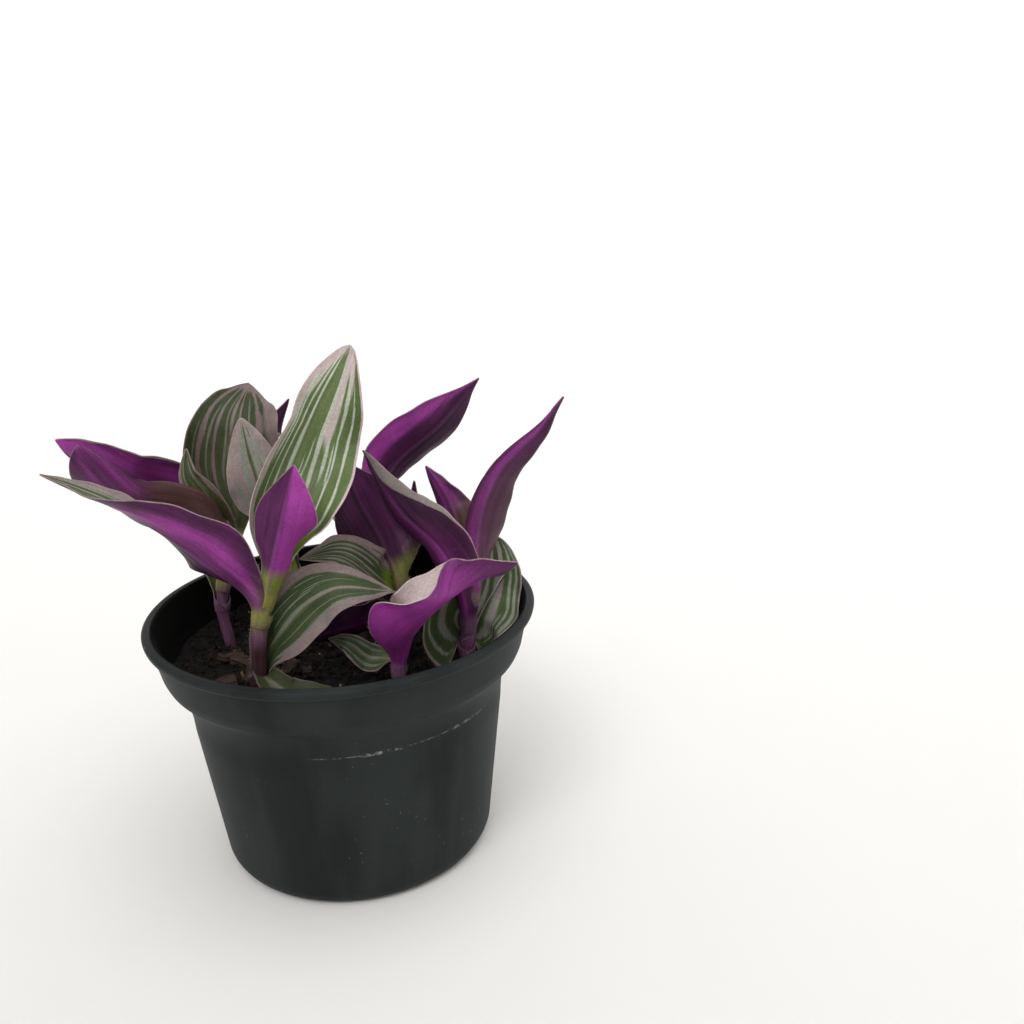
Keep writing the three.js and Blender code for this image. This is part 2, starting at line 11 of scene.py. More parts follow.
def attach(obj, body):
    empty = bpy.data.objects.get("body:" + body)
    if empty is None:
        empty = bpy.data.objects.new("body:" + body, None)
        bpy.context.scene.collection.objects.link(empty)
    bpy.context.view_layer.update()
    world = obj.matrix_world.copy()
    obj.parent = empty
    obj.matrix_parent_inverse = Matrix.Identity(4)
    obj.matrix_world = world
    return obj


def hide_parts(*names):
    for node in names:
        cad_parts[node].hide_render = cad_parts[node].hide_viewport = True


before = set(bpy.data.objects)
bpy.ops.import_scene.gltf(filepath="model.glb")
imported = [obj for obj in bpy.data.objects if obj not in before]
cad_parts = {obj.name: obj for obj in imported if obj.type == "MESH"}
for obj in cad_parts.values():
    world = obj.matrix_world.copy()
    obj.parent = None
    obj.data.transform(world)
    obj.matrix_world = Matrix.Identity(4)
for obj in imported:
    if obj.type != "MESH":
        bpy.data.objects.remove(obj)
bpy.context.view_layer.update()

bl_info = {
    "name": "Potted tradescantia",
    "version": (1, 0, 0),
    "blender": (4, 5, 0),
    "location": "View3D > Sidebar > Plant",
    "description": "Leaves, stems, soil and pot of a striped tradescantia, on a plain pale floor",
    "category": "Object",
}

MM = 0.001
TURN = 6.28

# The plant's forms, in millimetres, as the solids have them.
SHEATH = 5.0
GAP = 0.3
BLADE = 0.6
SHEATH_SLACK = 0.12
TIP_WIDTH = 0.6
THIRD = 0.35
TWO_THIRDS = 0.65
STEM_FOOT = 52.0

# How far each half of a blade is folded up, in degrees, at the node, a third, two thirds and the tip.
OPEN = [82, 43, 22, 10]
FOLDED = [82, 51, 32, 20]
YOUNG = [60, 36, 22, 10]

# Where a blade's upper side may face.
FRONT = [0.1, -1, 0.3]
FRONT_UP = [0.1, -1, 0.8]
BACK = [0, 1, 0.3]

# What the finer blades have and the solids lack, in millimetres and degrees.
SHEATH_TURN = 176.0
SHEATH_FIT = 0.2
RUFFLE = 0.14
GROOVE_DEPTH = 0.28
GROOVE_WIDTH = 0.7
KEEL_DEPTH = 0.3
KEEL_WIDTH = 0.8
MIDRIB_WIDTH = 0.55
SMALL_WIDTH = 14
SMALL_GRID = [44, 28]
LARGE_GRID = [68, 72]

# The narrowest band that a margin can have, as a share of half a blade. Narrower ones aren't drawn.
THINNEST_BAND = 0.001

# The heights between which a stem turns yellow-green, and where a plain one turns mauve, and how.
FRESH_HEIGHTS = [81, 90]
MAUVE_HEIGHT = 77
MAUVE_FADE = 6
MAUVE_MOST = 0.75

# Each stem: the points that it passes and its radius, in millimetres. fresh: how yellow-green its upper
# part is, fully if it isn't given. mauve: the height from which its old skin is mauve.
STEMS = {
    "front_left": {"line": [[-21, -27, 62], [-20, -28, 78], [-18, -28, 89], [-13, -28, 102]],
                   "radius": 2.5},
    "back_left": {"line": [[-38, 6, 62], [-39, 5, 79], [-36, 6, 92], [-33, 8, 101]], "radius": 2.0,
                  "mauve": 62},
    "front": {"line": [[19, -25, 62], [19, -25, 68], [20, -25, 76]], "radius": 1.8, "fresh": 0.2,
              "mauve": 60},
    "right": {"line": [[39, -15, 62], [39, -14, 72], [40, -13, 80], [42, -12, 91]], "radius": 2.1,
              "fresh": 0.45, "mauve": 62},
    "middle_left": {"line": [[-14, 14, 62], [-16, 12, 82], [-18, 9, 96], [-19, 6, 107]], "radius": 2.0},
    "middle": {"line": [[19, -4, 62], [20, -4, 75], [20, -5, 84], [19, -4, 92]], "radius": 2.1,
               "fresh": 0.6},
    "back": {"line": [[6, 22, 62], [6, 22, 80], [5, 22, 89], [4, 22, 99]], "radius": 2.1},
}

# stem, height of the node, the points that the midrib passes, width, the upper side's facing and the
# rise of the two halves at the node, a third, two thirds and the tip, and what else shapes the blade.
LEAVES = {
    "tall_front": {
        "stem": "front_left", "node": 101, "rib": [[-10.9, -24, 115.5], [-3, -17, 136.3], [10, -6, 161]],
        "width": 29.6, "widest": 0.35, "lop": 0.21, "point": 0.62, "cup": [82, 74, 45, 40],
        "faces": [FRONT, [0.14, -1, 0], [0.6, -1, -0.15], [-0.4, -1, 0.45]]},
    "short_front": {
        "stem": "front_left", "node": 96, "rib": [[-9.5, -35, 113], [-5, -39, 126], [-2.5, -38, 135]],
        "width": 17, "widest": 0.64, "lop": -0.1, "point": 1, "cup": OPEN,
        "turns": [[-1, 0.42, 0.14, 60], [1, 0.26, 0.12, 40]], "faces": [BACK, BACK, BACK, BACK]},
    "long_left": {
        "stem": "front_left", "node": 91, "rib": [[-30, -34, 107], [-49, -32, 121], [-74, -27, 132]],
        "width": 27, "widest": 0.33, "point": 1.1, "wave": 1.2, "cup": [82, 55, 50, 60],
        "turns": [[-1, 0.7, 0.2, -15], [1, 0.78, 0.15, -30]],
        "faces": [[0.8, 0.6, 0.4], [0, 0.9, 0.5], [0, 0.3, 0.95], [0, -0.1, 1]]},
    "low_front": {
        "stem": "front_left", "node": 71, "rib": [[-12, -27, 84], [2, -27, 95], [19, -24, 93]],
        "width": 22, "cup": [82, 48, 30, 10], "faces": [[-0.3, -0.9, 0.3], FRONT_UP, FRONT_UP, FRONT_UP]},
    "rim": {
        "stem": "front_left", "node": 70, "rib": [[-10, -38, 69], [-3, -39, 70], [4, -38, 69]],
        "width": 9, "cup": YOUNG,
        "faces": [[-0.4, 0.9, 0.3], [0, -0.5, 1], [0, -0.5, 1], [0, -0.5, 1]]},
    "left_upper": {
        "stem": "back_left", "node": 96, "rib": [[-46.6, 14, 109.3], [-65.8, 10, 121.1], [-83, 6, 134]],
        "width": 23.5, "widest": 0.59, "point": 0.92, "wave": 0.5, "cup": [82, 57, 15, 16],
        "faces": [[0.6, 0.8, 0.3], BACK, [0.1, 1, 0.8], [-0.25, 0.8, 0.4]]},
    "left_middle": {
        "stem": "back_left", "node": 89, "rib": [[-44.3, 4, 110.4], [-59, -2, 116.5], [-71, -8, 135]],
        "width": 30, "widest": 0.43, "lop": 0.5, "point": 0.66, "wave": 0.5, "cup": [82, 51, 60, 60],
        "turns": [[-1, 0.85, 0.12, 50]],
        "faces": [[0.6, 0.8, 0.3], [0.1, 1, 0.4], [0.3, 1, 0.25], [-0.5, 1, -0.2]]},
    "back_left_broad": {
        "stem": "back_left", "node": 101, "rib": [[-34.6, 16, 117.8], [-32.8, 22, 136], [-30, 34, 144]],
        "width": 36, "widest": 0.48, "lop": 0.18, "point": 0.84, "cup": [82, 46, 54, 5],
        "faces": [FRONT, FRONT, [0, -1, 0.3], [0.2, -1, 0.6]]},
    "young_left": {
        "stem": "back_left", "node": 98, "rib": [[-41, 8, 113], [-45, 8, 121], [-45, 9, 129]],
        "width": 11, "cup": YOUNG, "faces": [[0.8, -0.6, 0.3], FRONT, FRONT, FRONT]},
    "left_back": {
        "stem": "back_left", "node": 82, "rib": [[-47, 18, 94], [-56, 30, 98], [-66, 40, 94]],
        "width": 18, "cup": FOLDED,
        "faces": [[0.6, -0.8, 0.3], [0.5, -0.4, 1], [0.5, -0.4, 1], [0.5, -0.4, 1]]},
    "middle_pale": {
        "stem": "middle_left", "node": 106, "rib": [[-22, 2, 119], [-24, 2, 130], [-26, 4, 139]],
        "width": 19, "point": 0.8, "cup": OPEN, "faces": [FRONT, FRONT, FRONT, FRONT]},
    "behind_broad": {
        "stem": "middle_left", "node": 98, "rib": [[-22, 26, 118], [-26, 42, 126], [-20, 46, 136]],
        "width": 13, "cup": FOLDED, "faces": [[0.2, -1, 0.3], [0.1, 0, 1], BACK, BACK]},
    "back_left_low": {
        "stem": "middle_left", "node": 89, "rib": [[-26, 32, 108], [-36, 50, 114], [-48, 66, 110]],
        "width": 24, "cup": FOLDED,
        "faces": [[0.4, -0.9, 0.3], [0.3, -0.5, 1], [0.3, -0.5, 1], [0.3, -0.5, 1]]},
    "middle_arched": {
        "stem": "middle", "node": 84, "rib": [[13, -12, 93], [4, -18, 103], [-7, -22, 103]],
        "width": 17, "cup": OPEN,
        "faces": [[0.9, 0.3, 0.3], [0.3, -0.4, 0.8], [0, -0.7, 1], [0, -0.7, 1]]},
    "middle_upright": {
        "stem": "middle", "node": 90, "rib": [[14, 0, 100], [8, 4, 111], [3, 8, 123]],
        "width": 34, "cup": FOLDED, "faces": [[0.3, 0.9, 0.3], BACK, BACK, BACK]},
    "middle_low": {
        "stem": "middle", "node": 77, "rib": [[7, -12, 78], [-2, -18, 78], [-10, -22, 78]],
        "width": 13, "cup": OPEN, "faces": [[0.8, 0.6, 0.3], [0.2, 1, 0.3], [0, 1, 0.2], [0, 1, 0.2]]},
    "back_right_high": {
        "stem": "back", "node": 97, "rib": [[16, 24, 117], [32, 26, 130], [45, 28, 144]],
        "width": 20.5, "widest": 0.55, "lop": 0.12, "point": 1.2, "wave": 1.1, "cup": FOLDED,
        "faces": [[-0.7, 0.7, 0.3], [-0.4, 0.8, 0.3], [-0.3, 0.9, 0.3], [-0.3, 0.9, 0.3]]},
    "young_back": {
        "stem": "back", "node": 92, "rib": [[17, 20, 98], [22, 20, 105], [23, 20, 113]],
        "width": 6, "cup": [60, 40, 32, 20], "faces": [[-0.9, 0.4, 0.3], BACK, BACK, BACK]},
    "back_centre": {
        "stem": "back", "node": 82, "rib": [[3, 40, 96], [0, 58, 104], [-2, 76, 100]],
        "width": 26, "cup": FOLDED, "faces": [[0, -1, 0.3], [0, -0.6, 1], [0, -0.6, 1], [0, -0.6, 1]]},
    "back_right_low": {
        "stem": "back", "node": 77, "rib": [[16, 36, 86], [28, 50, 89], [42, 58, 83]],
        "width": 22, "cup": FOLDED,
        "faces": [[-0.8, -0.6, 0.3], [-0.4, -0.4, 1], [-0.4, -0.4, 1], [-0.4, -0.4, 1]]},
    "right_crossing": {
        "stem": "right", "node": 80, "rib": [[33, -13, 100], [21, -9.5, 112.5], [11, -5, 130]],
        "width": 21, "cup": [82, 58, 50, 50],
        "faces": [[0.3, 0.9, 0.3], [0.1, 0.8, 0.5], [0, 0.8, 0.6], [0, 0.6, 0.8]]},
    "right_tall": {
        "stem": "right", "node": 87,
        "rib": [[43, -10, 102], [50.5, -8, 123], [62.5, -7, 134.5], [70, -6, 144]],
        "width": 15, "widest": 0.3, "lop": -0.48, "point": 1.2, "cup": [82, 58, 40, 30],
        "faces": [[-0.6, 0.8, 0.3], [-0.2, 1, 0.3], BACK, BACK]},
    "right_pointed": {
        "stem": "right", "node": 90, "rib": [[39, -2, 101], [35, 4, 110], [28, 8, 121]],
        "width": 14, "cup": FOLDED, "faces": [[0.2, -0.9, 0.3], [0.3, 0.4, 0.8], BACK, BACK]},
    "right_broad": {
        "stem": "right", "node": 71.5, "rib": [[39, -10.3, 76], [43.9, -2, 87.3], [47, 2.9, 100]],
        "width": 34, "widest": 0.3, "lop": -0.05, "point": 0.5, "lobes": 14, "cup": [82, 90, 20, 24],
        "faces": [FRONT, [0.05, -1, 0.55], [0.4, -1, 0.05], FRONT]},
    "right_back": {
        "stem": "right", "node": 75, "rib": [[46, 4, 83], [47, 18, 86.5], [47, 30, 85]],
        "width": 18, "cup": FOLDED,
        "faces": [[-0.5, -0.8, 0.3], [-0.5, -0.4, 1], [-0.5, -0.4, 1], [-0.5, -0.4, 1]]},
    "goblet": {
        "stem": "front", "node": 71, "rib": [[23.2, -28.7, 79], [36.3, -29.4, 93], [55, -34, 104]],
        "width": 36, "widest": 0.36, "lop": 0.03, "cup": [97, 95, 40, 33],
        "turns": [[1, 0.48, 0.08, -25], [1, 0.72, 0.09, 80], [-1, 0.35, 0.12, 44]],
        "faces": [[-0.64, 0.77, 0.2], [-0.91, 0.26, 0.32], [-0.93, 0.11, 0.34], [-0.05, 0.91, 0.41]]},
    "small_low": {
        "stem": "front", "node": 71.5, "rib": [[11, -24, 72], [5, -24, 77], [-1, -22, 78]],
        "width": 9, "cup": YOUNG,
        "faces": [[0.9, -0.2, 0.3], [0.2, -1, 1], [0, -1, 1], [0, -1, 1]]},
}

# How each blade is marked. edge: the width of the pink margin on the left and right half, as a share
# of the half, near the stem and near the tip. silver and pink: stripes as place across (-1 left to
# 1 right), half width, where they start and end along the blade. tip: how pink the end is. base: how
# yellow-green the foot is. paleness_and_painted_light: how pale the upper side's colours are, partly
# the leaf's own paleness and partly painted shade, low on leaves that lie in shade. brown: how brown
# the left and right half are. purple_and_painted_light: how bright the purple underside is on the two
# halves, partly the purple's own strength and partly painted light and shade; core: where across its
# painted sheen is brightest, or None for the middle of each half; span: how wide that painted sheen
# is; dim: how much darker it gets toward the tip, painted shade included. hem: like edge, the pale
# margin that shows on the underside.
PLAIN = {"edge": [[0.05, 0.12], [0.05, 0.12]], "silver": [], "pink": [], "purple_and_painted_light": [0.35, 0.3], "tip": 0.3,
         "base": 0.5, "paleness_and_painted_light": 0.45, "brown": [0.0, 0.0], "core": None, "span": 0.3, "dim": 0.3,
         "hem": [[0.0, 0.0], [0.0, 0.0]]}
MARKS = {
    "tall_front": {
        "edge": [[0.16, 0.62], [0.02, 0.07]], "tip": 0.5, "base": 1.5, "paleness_and_painted_light": 1.0,
        "silver": [[-0.84, 0.12, 0.12, 0.95], [-0.62, 0.06, 0.45, 1], [-0.5, 0.03, 0.2, 0.96],
                   [-0.3, 0.06, 0.74, 1], [0.62, 0.05, 0.7, 1],
                   [-0.33, 0.022, 0.1, 0.97], [-0.14, 0.04, 0.15, 0.97], [0.16, 0.016, 0.12, 0.6],
                   [0.3, 0.05, 0.3, 1], [0.44, 0.045, 0.42, 1], [0.57, 0.018, 0.15, 0.85],
                   [0.79, 0.024, 0.15, 0.95]],
        "pink": [[-0.74, 0.07, 0.6, 1], [-0.46, 0.05, 0.74, 1], [0.4, 0.11, 0.56, 1], [0.7, 0.12, 0.8, 1]]},
    "short_front": {"edge": [[0.04, 0.05], [0.04, 0.05]], "purple_and_painted_light": [0.97, 0.8], "core": -0.5, "span": 0.5,
                    "tip": 0.1, "base": 1.3, "paleness_and_painted_light": 0.8, "dim": 0.0},
    "long_left": {
        "edge": [[0.1, 0.2], [0.1, 0.2]], "purple_and_painted_light": [0.7, 0.4], "tip": 0.2, "base": 0.5, "paleness_and_painted_light": 0.35,
        "dim": 0.0, "core": -0.42, "span": 0.26, "hem": [[0.014, 0.03], [0.0, 0.03]],
        "silver": [[-0.5, 0.05, 0.2, 1], [0.5, 0.05, 0.2, 1]],
        "pink": [[-0.76, 0.14, 0.3, 1], [0.72, 0.16, 0.3, 1], [0.2, 0.06, 0.3, 1]]},
    "low_front": {
        "edge": [[0.14, 0.34], [0.1, 0.5]], "tip": 0.7, "base": 0.1, "paleness_and_painted_light": 0.22,
        "silver": [[-0.4, 0.014, 0.1, 0.9], [-0.06, 0.05, 0.1, 0.95], [0.3, 0.014, 0.15, 1],
                   [0.6, 0.1, 0.1, 1]],
        "pink": [[-0.78, 0.16, 0.08, 1], [-0.02, 0.05, 0.45, 1], [0.76, 0.2, 0.15, 1]]},
    "back_left_broad": {
        "edge": [[0.02, 0.08], [0.04, 0.3]], "tip": 1.0, "base": 0.1, "paleness_and_painted_light": 0.14, "brown": [0.35, 0.3],
        "silver": [[-0.44, 0.02, 0.3, 0.8], [-0.1, 0.026, 0.3, 0.95], [0.36, 0.022, 0.3, 0.9]],
        "pink": [[-0.62, 0.08, 0.28, 1], [-0.3, 0.035, 0.25, 1], [0.0, 0.05, 0.6, 1],
                 [0.16, 0.024, 0.4, 0.95], [0.56, 0.07, 0.5, 1], [0.82, 0.1, 0.5, 1]]},
    "middle_pale": {
        "edge": [[0.3, 0.5], [0.25, 0.5]], "tip": 0.8, "base": 0.2, "paleness_and_painted_light": 0.5,
        "silver": [[-0.3, 0.14, 0.1, 1], [0.1, 0.1, 0.1, 1], [0.4, 0.14, 0.1, 1], [-0.6, 0.12, 0.1, 1]],
        "pink": [[-0.48, 0.1, 0.15, 1], [-0.15, 0.05, 0.2, 1], [0.22, 0.05, 0.2, 1], [0.6, 0.1, 0.2, 1]]},
    "middle_arched": {
        "edge": [[0.1, 0.25], [0.16, 0.3]], "tip": 0.5, "base": 1.5, "paleness_and_painted_light": 0.25,
        "silver": [[-0.5, 0.07, 0.2, 1], [0.05, 0.04, 0.2, 1], [0.5, 0.06, 0.2, 1]],
        "pink": [[-0.25, 0.05, 0.3, 1], [0.3, 0.05, 0.35, 1], [0.72, 0.08, 0.2, 1]]},
    "right_broad": {
        "edge": [[0.04, 0.06], [0.04, 0.06]], "tip": 0.3, "base": 0.1, "paleness_and_painted_light": 0.4,
        "silver": [[-0.8, 0.04, 0.05, 1], [-0.5, 0.1, 0.05, 1], [-0.2, 0.03, 0.05, 1],
                   [0.16, 0.04, 0.05, 1], [0.42, 0.11, 0.05, 1], [0.7, 0.04, 0.05, 1],
                   [0.86, 0.05, 0.05, 1]],
        "pink": [[0.45, 0.05, 0.1, 1], [-0.48, 0.04, 0.1, 1]]},
    "goblet": {
        "edge": [[0.1, 0.12], [0.05, 0.06]], "purple_and_painted_light": [1.0, 1.0], "tip": 0.1, "base": 0.1, "paleness_and_painted_light": 1.0,
        "dim": 0.62, "core": 0.35, "span": 0.8, "silver": [[0.3, 0.2, 0.1, 0.6]],
        "pink": [[-0.75, 0.35, 0.1, 0.95], [-0.3, 0.35, 0.1, 0.95], [0.6, 0.5, 0.1, 0.95]]},
    "small_low": {
        "edge": [[0.06, 0.3], [0.06, 0.3]], "tip": 0.3, "paleness_and_painted_light": 0.05,
        "silver": [[-0.5, 0.1, 0.1, 1], [0.1, 0.08, 0.1, 1], [0.6, 0.1, 0.1, 1]]},
    "rim": {"edge": [[0.02, 0.04], [0.02, 0.04]], "silver": [[0.1, 0.2, 0.1, 1]], "tip": 0.0, "paleness_and_painted_light": 0.0,
            "base": 0.0, "brown": [0.25, 0.25]},
    "left_upper": {"purple_and_painted_light": [0.92, 0.9], "base": 0.15, "span": 0.4, "dim": -0.1,
                   "hem": [[0.05, 0.08], [0.0, 0.0]]},
    "left_middle": {"purple_and_painted_light": [0.42, 0.4], "base": 1.1, "brown": [0.95, 0.4], "dim": -0.3,
                    "hem": [[0.02, 0.03], [0.0, 0.0]]},
    "young_left": {"edge": [[0.12, 0.3], [0.16, 0.34]], "tip": 0.35, "base": 1.6, "purple_and_painted_light": [0.1, 0.1],
                   "brown": [1.0, 1.0], "paleness_and_painted_light": 0.35, "silver": [[0.3, 0.06, 0.1, 1]],
                   "pink": [[-0.5, 0.08, 0.3, 1]]},
    "behind_broad": {"purple_and_painted_light": [0.3, 0.2]},
    "middle_upright": {"purple_and_painted_light": [0.36, 0.3], "base": 0.9, "dim": 0.0},
    "middle_low": {"purple_and_painted_light": [0.3, 0.45]},
    "back_right_high": {"purple_and_painted_light": [0.44, 0.8], "base": 0.1, "dim": 0.25, "core": 0.75, "span": 0.28},
    "young_back": {"purple_and_painted_light": [0.3, 0.3]},
    "right_crossing": {"purple_and_painted_light": [0.55, 0.75], "core": 0.0, "span": 0.3, "base": 0.15, "paleness_and_painted_light": 0.5,
                       "dim": 0.75, "hem": [[0.0, 1.1], [0.0, 0.0]]},
    "right_tall": {"purple_and_painted_light": [0.5, 0.62], "core": 0.1, "span": 0.4, "base": 0.2, "tip": 0.1, "dim": 0.1,
                   "brown": [0.5, 0.3], "hem": [[0.0, 0.0], [0.0, 0.2]]},
    "right_pointed": {"purple_and_painted_light": [0.6, 0.5], "base": 0.2, "brown": [1.0, 0.35], "dim": 0.0},
}

# The pot, in millimetres. Points are a radius and a height.
POT_RIM = 60.0
POT_HEIGHT = 80.0
LIP_HEIGHT = 2.6
LIP_ROUNDING = 0.7
POT_FOOT = 38.0
WALL = 1.2
TAPER = [[41.4, 1.3], [42.9, 4], [43.5, 9], [49.2, 55.5]]
WAIST_START = [48.1, 46.5]
WAIST_STEPS = 30
COLLAR = [[50.3, 58.5], [52.3, 62], [54.6, 64.6], [55.7, 67], [57.8, 76.8]]
INSIDE = [[40.8, 5], [42.4, 10], [48, 56], [51.8, 64.2], [54.3, 68.5]]
POT_ROUNDING = 1.1
DRAIN_HOLES = 8
DRAIN_RADIUS = 3.5
DRAIN_CIRCLE = 29.0
DRAIN_DEPTH = 6.0
SCUFF_HEIGHT = 53.9

# The soil, in millimetres.
SOIL_TOP = 64.5
SOIL_SIDE = [[40.5, 5], [42.1, 10], [47.7, 56]]
SOIL_EDGE = 50.8
BANK_EDGE = 52.4
BANK_START = 43.8
BANK_HEIGHT = 1.8
HUMP_HEIGHT = 0.9
HUMP_LENGTH = 7.0
RIPPLE_HEIGHT = 0.45
RIPPLE_LENGTH = 3.2
ROUGH_WAVES = 26
ROUGH_HEIGHT = 0.09
PATCH_LIMIT = 51
PATCH_STEP = 2.0
STEM_CLEARANCE = 3.4
CHIPS = 34
CHIP_CIRCLE = 46
CHIP_CLEARANCE = 7
CHIP_LIFT = 0.7
# The chips that the photograph shows: place, length, width and turn.
SEEN_CHIPS = [[-34, -22, 8.5, 5.0, 0.5], [-29, -30, 6.5, 4.0, 1.9], [-6, -41, 6.0, 3.4, 0.2]]
# Fibres in a square metre, how far crumbs and fibres are roughened in millimetres, and the scale of
# the noise that does it, which gives bumps of about 1.1 millimetres.
FIBRE_DENSITY = 9000.0
ROUGHNESS = {"crumb": 0.8, "fibre": 1.6}
CRUMB_NOISE = 900.0

# The finer stems: lengths in millimetres, and radii at the ends and between nodes as a share.
STEM_STEP = 0.6
STEM_SIDES = 24
SWELLING = 1.6
STEM_NECK = 0.86
STEM_END = [0.9, 0.7, 0.3]

# The hairs: the grid of the blade whose margins carry them, and a hair's radius in millimetres.
HAIR_GRID = [88, 24]
HAIR_RADIUS = 0.03

# The stage: the backdrop in millimetres, each lamp's direction, spread in degrees and strength, and the
# camera where the photograph was taken, with its focus and picture width in pixels.
BACKDROP = [[0, 0], [1800, 0], [2300, 120], [2600, 480], [2700, 1200], [2700, 2600]]
BACKDROP_ROUNDING = 400
SKY = 0.38
LAMPS = {"key": ((-0.3, -0.78, 0.7), 34, 2.2), "top": ((0.1, -0.3, 1.0), 60, 1.1)}
CAMERA_PLACE = (0.054, -0.300, 0.204)
CAMERA_PITCH = 17.8
CAMERA_ROLL = 2.1
CAMERA_FOCUS = 1036
PICTURE_WIDTH = 1024
SENSOR = 36.0

# What water-filled leaf tissue under a waxy skin does to light.
LEAF_TISSUE = {"IOR": 1.42, "Specular IOR Level": 0.26, "Subsurface Weight": 0.12,
               "Subsurface Radius": (1.0, 0.5, 0.6), "Subsurface Scale": 0.0006}
STEM_TISSUE = {"IOR": 1.42, "Specular IOR Level": 0.4, "Subsurface Weight": 0.15,
               "Subsurface Radius": (1.0, 0.6, 0.4), "Subsurface Scale": 0.001}

# The sizes of the patterns in the materials, in millimetres. Leaf cells and the pot's moulded grain are
# finer than the picture can show, and are drawn about eight times as coarse.
LEAF_CELLS = 0.385
LEAF_GRAIN = 0.714
LEAF_PATCHES = 7.14
FLECKS = 0.909
STEM_GRAIN = (1.11, 1.11, 8.33)
HAIR_TINT = 2.5
POT_GRAIN = 0.455
POT_DRAG = (2.38, 2.38, 55.6)
POT_BANDS = (18.2, 18.2, 200)
POT_CLOUDS = 26.3
SCUFF_DASHES = 2.38
DUST = 1.22
DUST_PATCHES = 33.3
INSIDE_PATCH_SIZE = 2.0
PEAT_GRAIN = 1.43
BARK_GRAIN = 2.38
PEAT_PATCHES = 8.33
FLOOR_CLOUDS = 333


# Small helpers

def linear(code):
    """An sRGB hex colour as linear red, green, blue and 1."""
    parts = [int(code[i:i + 2], 16) / 255 for i in (1, 3, 5)]
    return [c / 12.92 if c <= 0.04045 else ((c + 0.055) / 1.055) ** 2.4 for c in parts] + [1.0]


def per_metre(size):
    """The scale of a pattern whose parts are this many millimetres wide."""
    return 1000 / size


def smoothstep(x, low, high):
    t = np.clip((np.asarray(x, float) - low) / (high - low), 0, 1)
    return t * t * (3 - 2 * t)


def add(tree, kind, inputs=(), out=0, **settings):
    """Adds a node with its settings and links, and gives one of its outputs, or the node if out is None.
    Its inputs, by name or in order, are values, hex colours or other nodes' outputs."""
    node = tree.nodes.new(kind)
    for name, value in settings.items():
        setattr(node, name, value)
    for place, value in inputs.items() if isinstance(inputs, dict) else enumerate(inputs):
        if isinstance(value, bpy.types.NodeSocket):
            tree.links.new(value, node.inputs[place])
        else:
            is_colour = isinstance(value, str) and value.startswith("#")
            node.inputs[place].default_value = linear(value) if is_colour else value
    return node if out is None else node.outputs[out]


def new_material(name):
    """A material whose node tree is empty, and that tree."""
    material = bpy.data.materials.new(name)
    material.use_nodes = True
    material.node_tree.nodes.clear()
    return material, material.node_tree


def surface(tree, inputs):
    """Ends a material with its surface."""
    shader = add(tree, "ShaderNodeBsdfPrincipled", inputs)
    add(tree, "ShaderNodeOutputMaterial", {"Surface": shader}, None)


def own_fields(tree, *names):
    """The numbers that a piece's mesh carries at its points under these names."""
    return [add(tree, "ShaderNodeAttribute", (), "Fac", attribute_name=name) for name in names]


def painted(tree, colour, *coats):
    """A colour with coats laid over it in turn. A colour is a hex code, a socket, or a share and the two
    colours that it blends. A coat is its mask and its colour. A share or mask may be two factors."""
    if isinstance(colour, tuple):
        share, first, second = colour
        if isinstance(share, tuple):
            share = add(tree, "ShaderNodeMath", share, operation="MULTIPLY")
        blend = {0: share, 6: painted(tree, first), 7: painted(tree, second)}
        colour = add(tree, "ShaderNodeMix", blend, 2, data_type="RGBA")
    for mask, coat in coats:
        colour = painted(tree, (mask, colour, coat))
    return colour


def mesh_object(name, points, faces, smooth=True):
    """A mesh object from points in millimetres."""
    mesh = bpy.data.meshes.new(name)
    mesh.from_pydata((np.asarray(points, float) * MM).tolist(), [], faces)
    mesh.validate()
    mesh.update()
    if smooth:
        mesh.polygons.foreach_set("use_smooth", [True] * len(mesh.polygons))
    piece = bpy.data.objects.new(name, mesh)
    bpy.context.scene.collection.objects.link(piece)
    return piece


def put_attribute(piece, name, values):
    layer = piece.data.attributes.new(name, "FLOAT", "POINT")
    layer.data.foreach_set("value", np.asarray(values, np.float32))


def hold(piece, slot, *nodes):
    """Finishes a piece: it rides on the plant and stands for its solids. Its slot is not used."""
    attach(piece, "root")
    if nodes:
        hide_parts(*nodes)


# Lines and blades

class SmoothLine:
    """A line that passes through its points, with the slope at each from its neighbours."""

    def __init__(self, points):
        self.points = np.array(points, float)
        lengths = np.linalg.norm(np.diff(self.points, axis=0), axis=1)
        steps = np.diff(self.points, axis=0) / lengths[:, None]
        self.knots = np.concatenate([[0], np.cumsum(lengths)])
        self.chord = self.knots[-1]
        slopes = [steps[0]]
        for i in range(1, len(steps)):
            before, after = lengths[i - 1], lengths[i]
            slopes.append((steps[i] * before + steps[i - 1] * after) / (before + after))
        slopes.append(steps[-1])
        self.slopes = np.array(slopes)

    def point(self, place):
        along = np.clip(np.asarray(place, float), 0, 1) * self.chord
        i = np.clip(np.searchsorted(self.knots, along, side="right") - 1, 0, len(self.points) - 2)
        length = self.knots[i + 1] - self.knots[i]
        u = ((along - self.knots[i]) / length)[..., None]
        length = length[..., None]
        near = (2 * u ** 3 - 3 * u ** 2 + 1) * self.points[i]
        near = near + (u ** 3 - 2 * u ** 2 + u) * length * self.slopes[i]
        far = (3 * u ** 2 - 2 * u ** 3) * self.points[i + 1]
        far = far + (u ** 3 - u ** 2) * length * self.slopes[i + 1]
        return near + far

    def tangent(self, place):
        place = np.asarray(place, float)
        low, high = np.clip(place - 1e-4, 0, 1), np.clip(place + 1e-4, 0, 1)
        step = self.point(high) - self.point(low)
        return step / np.linalg.norm(step, axis=-1, keepdims=True)

    def place_at_height(self, height):
        places = np.linspace(0, 1, 4001)
        return np.interp(height, self.point(places)[:, 2], places)


